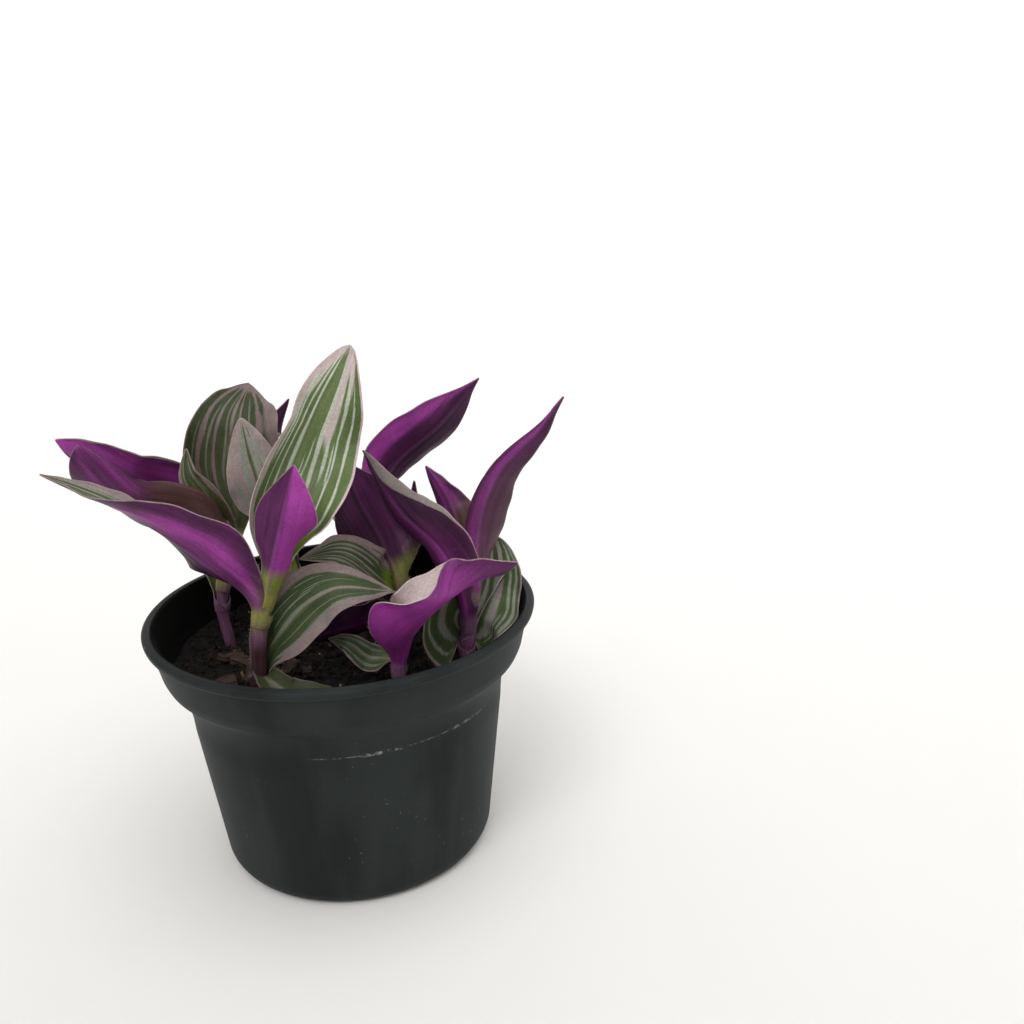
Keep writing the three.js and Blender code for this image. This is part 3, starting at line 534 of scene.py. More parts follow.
def between(keys, values, place):
    """Straight change of numbers or lists of numbers over the places in keys."""
    values = np.array(values, float)
    if values.ndim == 1:
        return np.interp(place, keys, values)
    return np.stack([np.interp(place, keys, values[:, k]) for k in range(values.shape[1])], axis=-1)


def stem_line(name):
    line = STEMS[name]["line"]
    return SmoothLine([[line[0][0], line[0][1], STEM_FOOT], *line])


def unit(vectors):
    return vectors / np.linalg.norm(vectors, axis=-1, keepdims=True)


def blade_frame(leaf):
    """A leaf's midrib, the side of the stem that it leaves from, its sheath's radius, and the share of
    the midrib that the sheath takes."""
    stem = STEMS[leaf["stem"]]
    line = stem_line(leaf["stem"])
    hold_radius = stem["radius"] + GAP + BLADE / 2 + SHEATH_SLACK
    outward = unit(np.array([-leaf["faces"][0][0], -leaf["faces"][0][1], 0.0]))
    heights = (leaf["node"] - SHEATH, leaf["node"])
    ends = [line.point(line.place_at_height(height)) + outward * hold_radius for height in heights]
    rib = SmoothLine([*ends, *leaf["rib"]])
    return rib, outward, hold_radius, SHEATH / rib.chord


def ruffle(leaf, p, s):
    """Small uneven waves of a margin, in millimetres, which differ from side to side and leaf to leaf."""
    draw = random.Random(leaf["width"] + leaf["node"] + leaf["rib"][-1][0])
    waves = np.zeros_like(s)
    for side in (-1, 1):
        for _ in range(4):
            pace, shift = draw.uniform(3.0, 9.0), draw.uniform(0, TURN)
            waves += np.where(np.sign(s) == side, RUFFLE * np.sin(2 * np.pi * pace * p + shift), 0)
    return waves * np.abs(s) ** 3


def blade_grid(leaf, lengths, widths):
    """The blade's middle surface: points, share across, place along, half width in millimetres."""
    rib, outward, hold_radius, start = blade_frame(leaf)
    low_rows = lengths // 4
    place = np.concatenate([np.linspace(0, start * 1.6, low_rows, endpoint=False),
                            np.linspace(start * 1.6, 1, lengths + 1 - low_rows)])
    share = np.linspace(-1, 1, widths + 1)
    keys = [0, start, THIRD, TWO_THIRDS, 1]
    faces = [-outward, *[unit(np.array(f, float)) for f in leaf["faces"]]]
    centre, along = rib.point(place), rib.tangent(place)
    up = between(keys, faces, place)
    up = unit(up - along * np.sum(up * along, axis=1, keepdims=True))
    right = np.cross(along, up)
    cup = np.radians(between(keys, [leaf["cup"][0], *leaf["cup"]], place))
    widest, full = leaf.get("widest", 0.42), leaf["width"] / 2
    clasp = hold_radius * math.radians(leaf["cup"][0])
    low = clasp + (full - clasp) * smoothstep(place, start, widest)
    rounding = np.clip(np.cos(np.pi / 2 * np.clip((place - widest) / (1 - widest), 0, 1)), 0, 1)
    high = TIP_WIDTH / 2 + (full - TIP_WIDTH / 2) * rounding ** leaf.get("point", 1)
    half = np.where(place < widest, low, high)
    # The solids clasp the stem only part of the way round; the real sheath is a closed tube.
    closing = 1 - smoothstep(place, start * 0.45, start * 0.95)
    sheath = np.radians(SHEATH_TURN)
    half = half + (hold_radius * sheath - half) * closing
    cup = cup + (sheath - cup) * closing
    free = np.clip((place - start) / (1 - start), 0, 1)
    lop = leaf.get("lop", 0) * smoothstep(place, start, THIRD)
    s, p = np.meshgrid(share, place)
    bend = np.repeat(cup[:, None], len(share), axis=1)
    for side, where, spread, degrees in leaf.get("turns", []):
        fold = np.where(np.sign(s) == side, np.radians(degrees), 0)
        bend = bend + fold * np.exp(-((p - where) / spread) ** 2)
    bend = np.where(np.abs(bend) < 0.02, 0.02, bend)
    width = half[:, None] * (1 + lop[:, None] * s)
    phase = 2 * np.pi * (2.5 * p + np.sign(s) / 4)
    wave = leaf.get("wave", 0.8) * np.sin(np.pi * free)[:, None] * np.sin(phase) * s ** 2
    loose_part = smoothstep(free, 0.05, 0.25) * (1 - smoothstep(free, 0.9, 1))
    wave = wave + ruffle(leaf, p, s) * loose_part[:, None]
    across = width * np.sin(bend * s) / bend
    lift = width * (1 - np.cos(bend * s)) / bend + wave
    droop = leaf.get("lobes", 0) * s ** 2 * (smoothstep(free, 0.0, 0.1) * (1 - free) ** 2)[:, None]
    points = centre[:, None] + right[:, None] * across[..., None] + up[:, None] * lift[..., None]
    points = points - along[:, None] * droop[..., None]
    # The sheath hugs its stem, closest at its lower end.
    axis = centre - outward * hold_radius
    loose = 0.5 * smoothstep(place, 0, start * 0.8) + 0.5 * smoothstep(place, start, start * 1.6)
    snug = 1 - (GAP + BLADE / 2 + SHEATH_SLACK - SHEATH_FIT) / hold_radius * (1 - loose)
    points = axis[:, None] + (points - axis[:, None]) * snug[:, None, None]
    return points, s, p, np.abs(width), free


def freshness(height, stem):
    """How yellow-green a stem or sheath is at a height: purple-brown and old below, partly painted shade;
    young above.
    """
    return smoothstep(height, *FRESH_HEIGHTS) * STEMS[stem].get("fresh", 1.0)


def mauveness(height, stem):
    """How mauve a stem's old skin is at a height: brown below, and mauve from a height of its own up."""
    start = STEMS[stem].get("mauve", MAUVE_HEIGHT)
    return MAUVE_MOST * smoothstep(height, start, start + MAUVE_FADE)


def surface_normals(points):
    ahead = np.gradient(points, axis=0)
    across = np.gradient(points, axis=1)
    return unit(np.cross(across, ahead))


def wander(draw, free, amount):
    """A slow random change along a blade, by which stripes swell, thin and stray."""
    waves = [(draw.uniform(0.7, 3.4), draw.uniform(0, TURN)) for _ in range(3)]
    return amount * sum(np.sin(2 * np.pi * pace * free + shift) for pace, shift in waves) / 3


def margins(free, s, edges, draw, pace):
    """Two bands along the margins, each as wide as a share of its half near the stem and near the tip."""
    field = np.zeros_like(s)
    for sign, (near, far) in zip((-1, 1), edges):
        width = ((near + (far - near) * free ** pace) * (1 + wander(draw, free, 0.5)))[:, None]
        drawn = width > THINNEST_BAND
        width = np.maximum(width, THINNEST_BAND)
        field += smoothstep(s * sign, 1 - width * 1.25, 1 - width * 0.75) * drawn
    return field


def marks_on(leaf_name, s, free):
    """A blade's fields of colour, each from 0 to 1."""
    marks = {**PLAIN, **MARKS.get(leaf_name, {})}
    draw = random.Random(leaf_name)
    silver_stripes, pink_stripes = list(marks["silver"]), list(marks["pink"])
    if not silver_stripes:
        for k in range(7):
            place = -0.84 + 0.28 * k + draw.uniform(-0.08, 0.08)
            stripe = [place, draw.uniform(0.02, 0.06), draw.uniform(0.05, 0.3), draw.uniform(0.8, 1)]
            (pink_stripes if draw.random() < 0.3 else silver_stripes).append(stripe)
    for _ in range(5):
        start = draw.uniform(0.05, 0.6)
        silver_stripes.append([draw.uniform(-0.9, 0.9), draw.uniform(0.01, 0.016), start,
                               start + draw.uniform(0.2, 0.45)])
    silver, pink = np.zeros_like(s), np.zeros_like(s)
    for field, stripes in ((silver, silver_stripes), (pink, pink_stripes)):
        for place, width, start, end in stripes:
            window = smoothstep(free, start - 0.1, start + 0.12)
            window = window * (1 - smoothstep(free, end - 0.12, end + 0.08))
            middle = place + wander(draw, free, 0.02)
            spread = width * (1 + wander(draw, free, 0.5)) * (0.35 + 0.65 * window)
            field += np.exp(-((s - middle[:, None]) / spread[:, None]) ** 2) * window[:, None]
    pink += margins(free, s, marks["edge"], draw, 1.5)
    pink += marks["tip"] * smoothstep(free, 0.86, 1.0)[:, None]
    # Underside brightness: partly the purple's own, partly painted light and shade, with a painted sheen.
    half = smoothstep(s, -0.14, 0.14)
    purple_and_painted_light = marks["purple_and_painted_light"][0] + (marks["purple_and_painted_light"][1] - marks["purple_and_painted_light"][0]) * half
    core = marks["core"]
    off = np.abs(s) - 0.3 if core is None else s - core
    painted_sheen = 0.5 + 0.6 * np.exp(-(off / marks["span"]) ** 2)
    purple_and_painted_light = purple_and_painted_light * painted_sheen * (1 - marks["dim"] * smoothstep(free, 0.2, 1.0))[:, None]
    brown = marks["brown"][0] + (marks["brown"][1] - marks["brown"][0]) * half
    brown = brown * (1 - 0.8 * smoothstep(free, 0.45, 0.75))[:, None]
    young = marks["base"] * (1 - smoothstep(free, 0.0, 0.34))[:, None] * np.ones_like(s)
    fields = {"pink": pink, "silver": silver, "purple_and_painted_light": purple_and_painted_light, "young": young, "brown": brown,
              "hem": margins(free, s, marks["hem"], draw, 3.0), "paleness_and_painted_light": np.full_like(s, marks["paleness_and_painted_light"])}
    return {key: np.clip(values, 0, 1) for key, values in fields.items()}


def build_blade(name, leaf, settings):
    """A leaf: a thin closed blade with a midrib, long veins in low relief and thin margins."""
    lengths, widths = SMALL_GRID if leaf["width"] < SMALL_WIDTH else LARGE_GRID
    points, s, p, half, free = blade_grid(leaf, lengths, widths)
    normal = surface_normals(points)
    fade = np.sin(np.pi * np.clip(free, 0, 1)) ** 0.5
    pleat = settings.vein_relief / MM * np.cos(s * half * 2 * np.pi / (settings.vein_spacing / MM))
    groove = -GROOVE_DEPTH * np.exp(-(s * half / GROOVE_WIDTH) ** 2)
    relief = (pleat * (1 - s ** 2) + groove) * fade[:, None]
    rib, _, _, start = blade_frame(leaf)
    foot = 0.3 + 0.7 * smoothstep(p, 0, start * 0.5)
    thickness = settings.thickness / MM * (1 - 0.55 * np.abs(s) ** 3) * foot
    keel = KEEL_DEPTH * np.exp(-(s * half / KEEL_WIDTH) ** 2) * (1 - p)
    upper = points + normal * (relief + thickness / 2)[..., None]
    lower = points + normal * (relief - thickness / 2 - keel)[..., None]
    rows, stride = lengths + 1, widths + 1
    count = rows * stride
    index = np.arange(count).reshape(rows, stride)
    a, b, c, d = index[:-1, :-1], index[:-1, 1:], index[1:, 1:], index[1:, :-1]
    top = np.stack([a, b, c, d], axis=-1).reshape(-1, 4)
    bottom = np.stack([a, d, c, b], axis=-1).reshape(-1, 4) + count
    edge = [*index[0, :-1], *index[:-1, -1], *index[-1, :0:-1], *index[:0:-1, 0]]
    rim = [[edge[k], edge[k] + count, edge[(k + 1) % len(edge)] + count, edge[(k + 1) % len(edge)]]
           for k in range(len(edge))]
    faces = top.tolist() + bottom.tolist() + [[int(v) for v in f] for f in rim]
    skins = np.concatenate([upper.reshape(-1, 3), lower.reshape(-1, 3)])
    piece = mesh_object(name + "_blade", skins, faces)
    kinds = [0] * len(top) + [1] * len(bottom) + [0] * len(rim)
    piece.data.polygons.foreach_set("material_index", kinds)
    sheath = 1 - smoothstep(p, start * 0.7, start * 1.5)
    heights = points[..., 2]
    fields = {**marks_on(name, s, free), "margin": (1 - np.abs(s)) * half, "sheath": sheath,
              "fresh": freshness(heights, leaf["stem"]), "mauve": mauveness(heights, leaf["stem"]),
              "across": s * half, "along": p * rib.chord,
              "draw": np.full_like(s, random.Random(name).uniform(0, 90)),
              "midrib": np.exp(-(s * half / MIDRIB_WIDTH) ** 2) * (1 - free[:, None] ** 3)}
    for key, values in fields.items():
        put_attribute(piece, key, np.concatenate([values.ravel(), values.ravel()]))
    uv = piece.data.uv_layers.new(name="blade")
    corners = np.zeros(len(piece.data.loops), np.int32)
    piece.data.loops.foreach_get("vertex_index", corners)
    flat = np.stack([(s.ravel() + 1) / 2, p.ravel()], axis=1)
    uv.data.foreach_set("uv", np.concatenate([flat, flat])[corners].ravel().astype(np.float32))
    return piece


# Materials

def streaks(tree, width, length, detail=2.0, offset=0.0):
    """Long thin streaks that run along a blade, with their usual width and length in millimetres."""
    across, along, draw = own_fields(tree, "across", "along", "draw")
    place = add(tree, "ShaderNodeCombineXYZ", (
        add(tree, "ShaderNodeMath", (across, 1 / width), operation="MULTIPLY"),
        add(tree, "ShaderNodeMath", (along, 1 / length), operation="MULTIPLY"),
        add(tree, "ShaderNodeMath", (draw, offset), operation="ADD")))
    return add(tree, "ShaderNodeTexNoise", {
        "Vector": place, "Scale": 1.0, "Detail": detail, "Roughness": 0.55})


def broken(tree, field, noise, amount, low, high):
    """A smooth field with its edge broken up by a noise, as a mask from 0 to 1."""
    shift = add(tree, "ShaderNodeMath", (noise, amount, -amount / 2), operation="MULTIPLY_ADD")
    value = add(tree, "ShaderNodeMath", (field, shift), operation="ADD")
    return add(tree, "ShaderNodeMapRange", {"Value": value, "From Min": low, "From Max": high},
               interpolation_type="SMOOTHSTEP")


def vein_bump(tree, where, noise, strength):
    """The relief of parallel veins and of cells."""
    cells = add(tree, "ShaderNodeTexNoise", {
        "Vector": where, "Scale": per_metre(LEAF_CELLS), "Detail": 2.0})
    height = add(tree, "ShaderNodeMath", (cells, 0.25, noise), operation="MULTIPLY_ADD")
    return add(tree, "ShaderNodeBump", {"Height": height, "Strength": strength, "Distance": 0.00012})


def mottled(tree, where, colour):
    """A colour made lighter and darker by a fine grain and by broad patches."""
    grain = add(tree, "ShaderNodeTexNoise", {
        "Vector": where, "Scale": per_metre(LEAF_GRAIN), "Detail": 3.0, "Roughness": 0.7})
    patches = add(tree, "ShaderNodeTexNoise", {
        "Vector": where, "Scale": per_metre(LEAF_PATCHES), "Detail": 2.0})
    value = add(tree, "ShaderNodeMath", (patches, 0.6, 0.25), operation="MULTIPLY_ADD")
    value = add(tree, "ShaderNodeMath", (grain, 0.9, value), operation="MULTIPLY_ADD")
    return add(tree, "ShaderNodeHueSaturation", {"Value": value, "Color": colour})


def sheath_skin(tree, noise):
    """Stem skin and thin sheaths: purple-brown low in the plant, partly painted shade, then mauve, then
    yellow-green.
    """
    mauve, fresh = own_fields(tree, "mauve", "fresh")
    return painted(tree, (noise, "#241318", "#5c4046"),
                   (mauve, (noise, "#56304c", "#a0769a")),
                   (fresh, (noise, "#6e7436", "#a5a15a")))


def leaf_upper(colours):
    """Living leaf, upper skin: semi-gloss, green with silver air-filled stripes and pink stripes and
    margins.
    """
    material, tree = new_material("leaf_skin_upper")
    where = add(tree, "ShaderNodeTexCoord", (), "Object")
    wide = streaks(tree, 2.6, 34.0)
    fine = streaks(tree, 0.6, 26.0, 3.0, 11.0)
    finest = streaks(tree, 0.3, 14.0, 2.0, 23.0)
    paleness_and_painted_light, silver, young, pink, brown = own_fields(tree, "paleness_and_painted_light", "silver", "young", "pink", "brown")
    midrib, margin, sheath = own_fields(tree, "midrib", "margin", "sheath")
    rim = add(tree, "ShaderNodeMapRange", {"Value": margin, "From Min": 0.35, "From Max": 0.1})
    # Darker and paler copy of each colour, per leaf: partly its own paleness, partly painted shade.
    green = (paleness_and_painted_light, (wide, colours["green_dark"], "#39462a"), (wide, "#4b5c33", colours["green_light"]))
    pale_pink = (finest, (wide, "#dccfca", "#cbb7ba"), "#b3a4a1")
    colour = painted(
        tree, green,
        ((broken(tree, finest, fine, 0.6, 0.6, 0.85), 0.7), (paleness_and_painted_light, "#4b5340", "#808a6c")),
        (broken(tree, silver, fine, 0.7, 0.2, 0.75), (paleness_and_painted_light, "#565b50", (finest, "#cdd0c4", "#a6ac98"))),
        (broken(tree, young, wide, 0.4, 0.15, 0.9), (fine, "#557022", "#8d9c48")),
        (broken(tree, pink, fine, 0.8, 0.25, 0.8), (paleness_and_painted_light, (finest, "#786664", "#5a494a"), pale_pink)),
        ((brown, 0.7), (fine, "#5e4c36", "#3c3020")),
        ((midrib, 0.25), "#8b8a6c"),
        ((rim, fine), (paleness_and_painted_light, "#77665f", "#d2bfb9")),
        (sheath, sheath_skin(tree, fine)))
    surface(tree, {
        **LEAF_TISSUE, "Base Color": mottled(tree, where, colour),
        "Roughness": add(tree, "ShaderNodeMath", (wide, 0.16, 0.36), operation="MULTIPLY_ADD"),
        "Normal": vein_bump(tree, where, fine, 0.8)})
    return material


def leaf_under(colours):
    """Living leaf, underside: smooth and waxy, dark purple to bright magenta partly by painted light and
    shade, with paler margins.
    """
    material, tree = new_material("leaf_skin_under")
    where = add(tree, "ShaderNodeTexCoord", (), "Object")
    wide = streaks(tree, 3.0, 30.0)
    fine = streaks(tree, 0.8, 24.0, 3.0, 31.0)
    purple_and_painted_light, brown, young, hem = own_fields(tree, "purple_and_painted_light", "brown", "young", "hem")
    midrib, margin, sheath = own_fields(tree, "midrib", "margin", "sheath")
    rim = add(tree, "ShaderNodeMapRange", {"Value": margin, "From Min": 0.4, "From Max": 0.12})
    flecks = add(tree, "ShaderNodeTexNoise", {"Vector": where, "Scale": per_metre(FLECKS), "Detail": 1.0})
    # Bright on halves that face the light, dark where the blade lies in shade: painted light and shade.
    lit = add(tree, "ShaderNodeMath", (fine, 0.5, purple_and_painted_light), operation="MULTIPLY_ADD")
    lit = broken(tree, lit, wide, 0.5, 0.25, 1.25)
    low = add(tree, "ShaderNodeMapRange", {"Value": lit, "From Min": 0.05, "From Max": 0.5})
    high = add(tree, "ShaderNodeMapRange", {"Value": lit, "From Min": 0.5, "From Max": 0.95})
    dull = (low, (wide, colours["purple_dark"], "#3c1537"), (fine, "#6b2b66", "#521f4c"))
    colour = painted(
        tree, (high, dull, (fine, colours["magenta"], "#893384")),
        (broken(tree, brown, wide, 0.5, 0.1, 1.0), (fine, "#5a403a", "#412729")),
        (broken(tree, young, wide, 0.5, 0.25, 0.95), (fine, "#8a9440", "#666a30")),
        ((midrib, 0.3), "#8e4f90"),
        (broken(tree, hem, fine, 0.5, 0.2, 0.8), (wide, "#8d8a80", "#857077")),
        ((rim, fine), "#b39a97"),
        (sheath, sheath_skin(tree, fine)),
        ((broken(tree, flecks, wide, 0.3, 0.78, 0.84), 0.25), "#b7a3b4"))
    surface(tree, {
        **LEAF_TISSUE, "Base Color": mottled(tree, where, colour),
        "Roughness": add(tree, "ShaderNodeMath", (wide, 0.14, 0.36), operation="MULTIPLY_ADD"),
        "Normal": vein_bump(tree, where, fine, 0.7)})
    return material


def stem_skin():
    """Living stem: smooth, slightly juicy, purple-brown low down, partly painted shade, yellow-green where
    young.
    """
    material, tree = new_material("stem_skin")
    where = add(tree, "ShaderNodeTexCoord", (), "Object")
    stretched = add(tree, "ShaderNodeMapping", {
        "Vector": where, "Scale": [per_metre(size) for size in STEM_GRAIN]})
    noise = add(tree, "ShaderNodeTexNoise", {"Vector": stretched, "Scale": 1.0, "Detail": 3.0})
    ring, = own_fields(tree, "ring")
    surface(tree, {
        **STEM_TISSUE, "Base Color": painted(tree, sheath_skin(tree, noise), (ring, "#7d6a5c")),
        "Roughness": 0.38,
        "Normal": add(tree, "ShaderNodeBump", {"Height": noise, "Strength": 0.4, "Distance": 0.0002})})
    return material


def hair_skin():
    """Plant hair: a clear, pale, soft bristle at the sheath's mouth."""
    material, tree = new_material("plant_hair")
    where = add(tree, "ShaderNodeTexCoord", (), "Object")
    noise = add(tree, "ShaderNodeTexNoise", {"Vector": where, "Scale": per_metre(HAIR_TINT), "Detail": 1.0})
    surface(tree, {"Base Color": painted(tree, (noise, "#d8cfc4", "#b9a3a6")), "Roughness": 0.45,
                   "Subsurface Weight": 0.1})
    return material


def around(tree, turn, first, last):
    """A mask from 0 to 1 for the part of a turned body between two angles in degrees, soft at its ends."""
    middle, half = math.radians((first + last) / 2), math.radians((last - first) / 2)
    off = add(tree, "ShaderNodeMath", (turn, middle), operation="SUBTRACT")
    off = add(tree, "ShaderNodeMath", (off,), operation="ABSOLUTE")
    return add(tree, "ShaderNodeMapRange", {"Value": off, "From Min": half + 0.04, "From Max": half - 0.04})


def scuffs(tree, where, clouds):
    """The scuff ring where stacked pots rub: a faint line in front with brighter dashes on it."""
    place = add(tree, "ShaderNodeSeparateXYZ", (where,), None).outputs
    level = add(tree, "ShaderNodeMath", (place["Z"], SCUFF_HEIGHT * MM), operation="SUBTRACT")
    level = add(tree, "ShaderNodeMath", (level,), operation="ABSOLUTE")
    thin = add(tree, "ShaderNodeMapRange", {"Value": level, "From Min": 0.00028, "From Max": 0.0001})
    ring = add(tree, "ShaderNodeMapRange", {"Value": level, "From Min": 0.0007, "From Max": 0.0002})
    turn = add(tree, "ShaderNodeMath", (place["Y"], place["X"]), operation="ARCTAN2")
    dashes = add(tree, "ShaderNodeTexNoise", {
        "Vector": where, "Scale": per_metre(SCUFF_DASHES), "Detail": 3.0, "Roughness": 0.75})
    worn = add(tree, "ShaderNodeMath", (around(tree, turn, -46, -30), 0.45, around(tree, turn, -77, -64)),
               operation="MULTIPLY_ADD")
    bright = add(tree, "ShaderNodeMath", (ring, worn), operation="MULTIPLY")
    faint = add(tree, "ShaderNodeMath", (around(tree, turn, -94, -26), 0.35), operation="MULTIPLY")
    faint = add(tree, "ShaderNodeMath", (thin, faint), operation="MULTIPLY")
    line = add(tree, "ShaderNodeMath", (bright, faint), operation="MAXIMUM")
    torn = broken(tree, dashes, clouds, 0.3, 0.4, 0.62)
    return add(tree, "ShaderNodeMath", (line, torn), operation="MULTIPLY")


def pot_plastic(colours):
    """Polypropylene, thin-wall injection moulded: near black, semi-matt, scuffed and dusty in use."""
    material, tree = new_material("moulded_polypropylene")
    where = add(tree, "ShaderNodeTexCoord", (), "Object")
    noises = {}
    for name, size, detail in (
            ("clouds", POT_CLOUDS, 3.0), ("specks", DUST, 1.0), ("patch", DUST_PATCHES, 1.0),
            ("inside_patches", INSIDE_PATCH_SIZE, 4.0), ("grain", POT_GRAIN, 2.0)):
        noises[name] = add(tree, "ShaderNodeTexNoise", {
            "Vector": where, "Scale": per_metre(size), "Detail": detail})
    for name, sizes, detail in (("streak", POT_DRAG, 2.0), ("wiped", POT_BANDS, 3.0)):
        drawn = add(tree, "ShaderNodeMapping", {
            "Vector": where, "Scale": [per_metre(size) for size in sizes]})
        noises[name] = add(tree, "ShaderNodeTexNoise", {"Vector": drawn, "Scale": 1.0, "Detail": detail})
    clouds, wiped, streak = noises["clouds"], noises["wiped"], noises["streak"]
    inside, = own_fields(tree, "inside")
    dust = broken(tree, noises["specks"], noises["patch"], 0.45, 0.8, 0.86)
    dust = add(tree, "ShaderNodeMath", (dust, 0.26), operation="MULTIPLY")
    marks = add(tree, "ShaderNodeMath", (scuffs(tree, where, clouds), dust), operation="MAXIMUM")
    outside = add(tree, "ShaderNodeMath", (1.0, inside), operation="SUBTRACT")
    marks = add(tree, "ShaderNodeMath", (marks, outside), operation="MULTIPLY")
    # Patches of the inside wall are painted near black and made rougher.
    darkened_inside = broken(tree, noises["inside_patches"], clouds, 0.4, 0.05, 0.3)
    darkened_inside = add(tree, "ShaderNodeMath", (inside, darkened_inside), operation="MULTIPLY")
    colour = painted(
        tree, (broken(tree, wiped, clouds, 0.3, 0.35, 0.65), colours["plastic"], "#2d3131"),
        ((streak, 0.3), "#2e3332"),
        ((marks, 0.9), "#a6a8a4"),
        (darkened_inside, "#070605"))
    rough = add(tree, "ShaderNodeMath", (wiped, 0.2, 0.42), operation="MULTIPLY_ADD")
    rough = add(tree, "ShaderNodeMath", (darkened_inside, 0.4, rough), operation="MULTIPLY_ADD")
    rough = add(tree, "ShaderNodeMath", (marks, 0.3, rough), operation="MULTIPLY_ADD")
    height = add(tree, "ShaderNodeMath", (streak, 0.5, noises["grain"]), operation="MULTIPLY_ADD")
    surface(tree, {
        "Base Color": colour, "Roughness": rough, "IOR": 1.49, "Specular IOR Level": 0.08,
        "Normal": add(tree, "ShaderNodeBump", {"Height": height, "Strength": 0.15, "Distance": 0.0001})})
    return material


def peat(name, dark, light, grain=PEAT_GRAIN):
    """Peat compost or bark: fibrous, open and quite matt, in browns near black."""
    material, tree = new_material(name)
    where = add(tree, "ShaderNodeTexCoord", (), "Object")
    noise = add(tree, "ShaderNodeTexNoise", {
        "Vector": where, "Scale": per_metre(grain), "Detail": 6.0, "Roughness": 0.65})
    patches = add(tree, "ShaderNodeTexNoise", {
        "Vector": where, "Scale": per_metre(PEAT_PATCHES), "Detail": 2.0})
    lightness = add(tree, "ShaderNodeMath", (patches, 0.45), operation="ADD")
    surface(tree, {
        "Base Color": painted(tree, ((noise, lightness), dark, light)), "Roughness": 0.92,
        "Specular IOR Level": 0.25,
        "Normal": add(tree, "ShaderNodeBump", {"Height": noise, "Strength": 0.9, "Distance": 0.0006})})
    return material


# Pieces

def filleted(profile, radius, steps=5):
    """A profile of radius and height with each inner corner rounded."""
    points = [np.array(p, float) for p in profile]
    result = [points[0]]
    for before, corner, after in zip(points, points[1:], points[2:]):
        back, on = before - corner, after - corner
        reach = min(radius, 0.45 * np.linalg.norm(back), 0.45 * np.linalg.norm(on))
        a, b = corner + back / np.linalg.norm(back) * reach, corner + on / np.linalg.norm(on) * reach
        for t in np.linspace(0, 1, steps):
            result.append((1 - t) ** 2 * a + 2 * t * (1 - t) * corner + t ** 2 * b)
    result.append(points[-1])
    return result


def revolved(name, profile, sides):
    """A closed turned body from a profile that starts and ends on the axis."""
    angles = np.linspace(0, 2 * np.pi, sides, endpoint=False)
    points, faces, rings = [], [], []
    for radius, height in profile:
        count = sides if radius > 1e-6 else 1
        rings.append(list(range(len(points), len(points) + count)))
        points.extend([[radius * math.cos(t), radius * math.sin(t), height] for t in angles[:count]])
    for low, high in zip(rings, rings[1:]):
        for j in range(sides):
            k = (j + 1) % sides
            quad = [low[j % len(low)], low[k % len(low)], high[k % len(high)], high[j % len(high)]]
            corners = [v for i, v in enumerate(quad) if v not in quad[:i]]
            if len(corners) > 2:
                faces.append(corners)
    return mesh_object(name, points, faces)


def soil_height(x, y):
    """The height of the soil's mounds and ripples."""
    hump = HUMP_HEIGHT * np.sin(x / HUMP_LENGTH) * np.cos(y / HUMP_LENGTH)
    return float(SOIL_TOP + hump + RIPPLE_HEIGHT * np.sin((x - y) / RIPPLE_LENGTH))


def bank_height(x, y):
    """How much higher the soil is banked up near the pot's wall."""
    return BANK_HEIGHT * float(smoothstep(math.hypot(x, y), BANK_START, BANK_EDGE))


def stem_places():
    return [stem["line"][0][:2] for stem in STEMS.values()]


def plain(piece):
    """Turns a piece's modifiers into its mesh."""
    bpy.context.view_layer.update()
    evaluated = piece.evaluated_get(bpy.context.evaluated_depsgraph_get())
    mesh = bpy.data.meshes.new_from_object(evaluated)
    piece.modifiers.clear()
    piece.data = mesh


def new_tree(name, **inputs):
    """An empty Geometry Nodes tree with named inputs, and those inputs' sockets."""
    tree = bpy.data.node_groups.new(name, "GeometryNodeTree")
    tree.interface.new_socket("Geometry", in_out="OUTPUT", socket_type="NodeSocketGeometry")
    for label, kind in {"Geometry": "Geometry", **inputs}.items():
        tree.interface.new_socket(label, in_out="INPUT", socket_type="NodeSocket" + kind)
    return tree, add(tree, "NodeGroupInput", (), None).outputs


def end_tree(tree, shape, material):
    """Ends a tree with the material on its whole shape."""
    coated = add(tree, "GeometryNodeSetMaterial", {"Geometry": shape, "Material": material})
    add(tree, "NodeGroupOutput", {"Geometry": coated}, None)


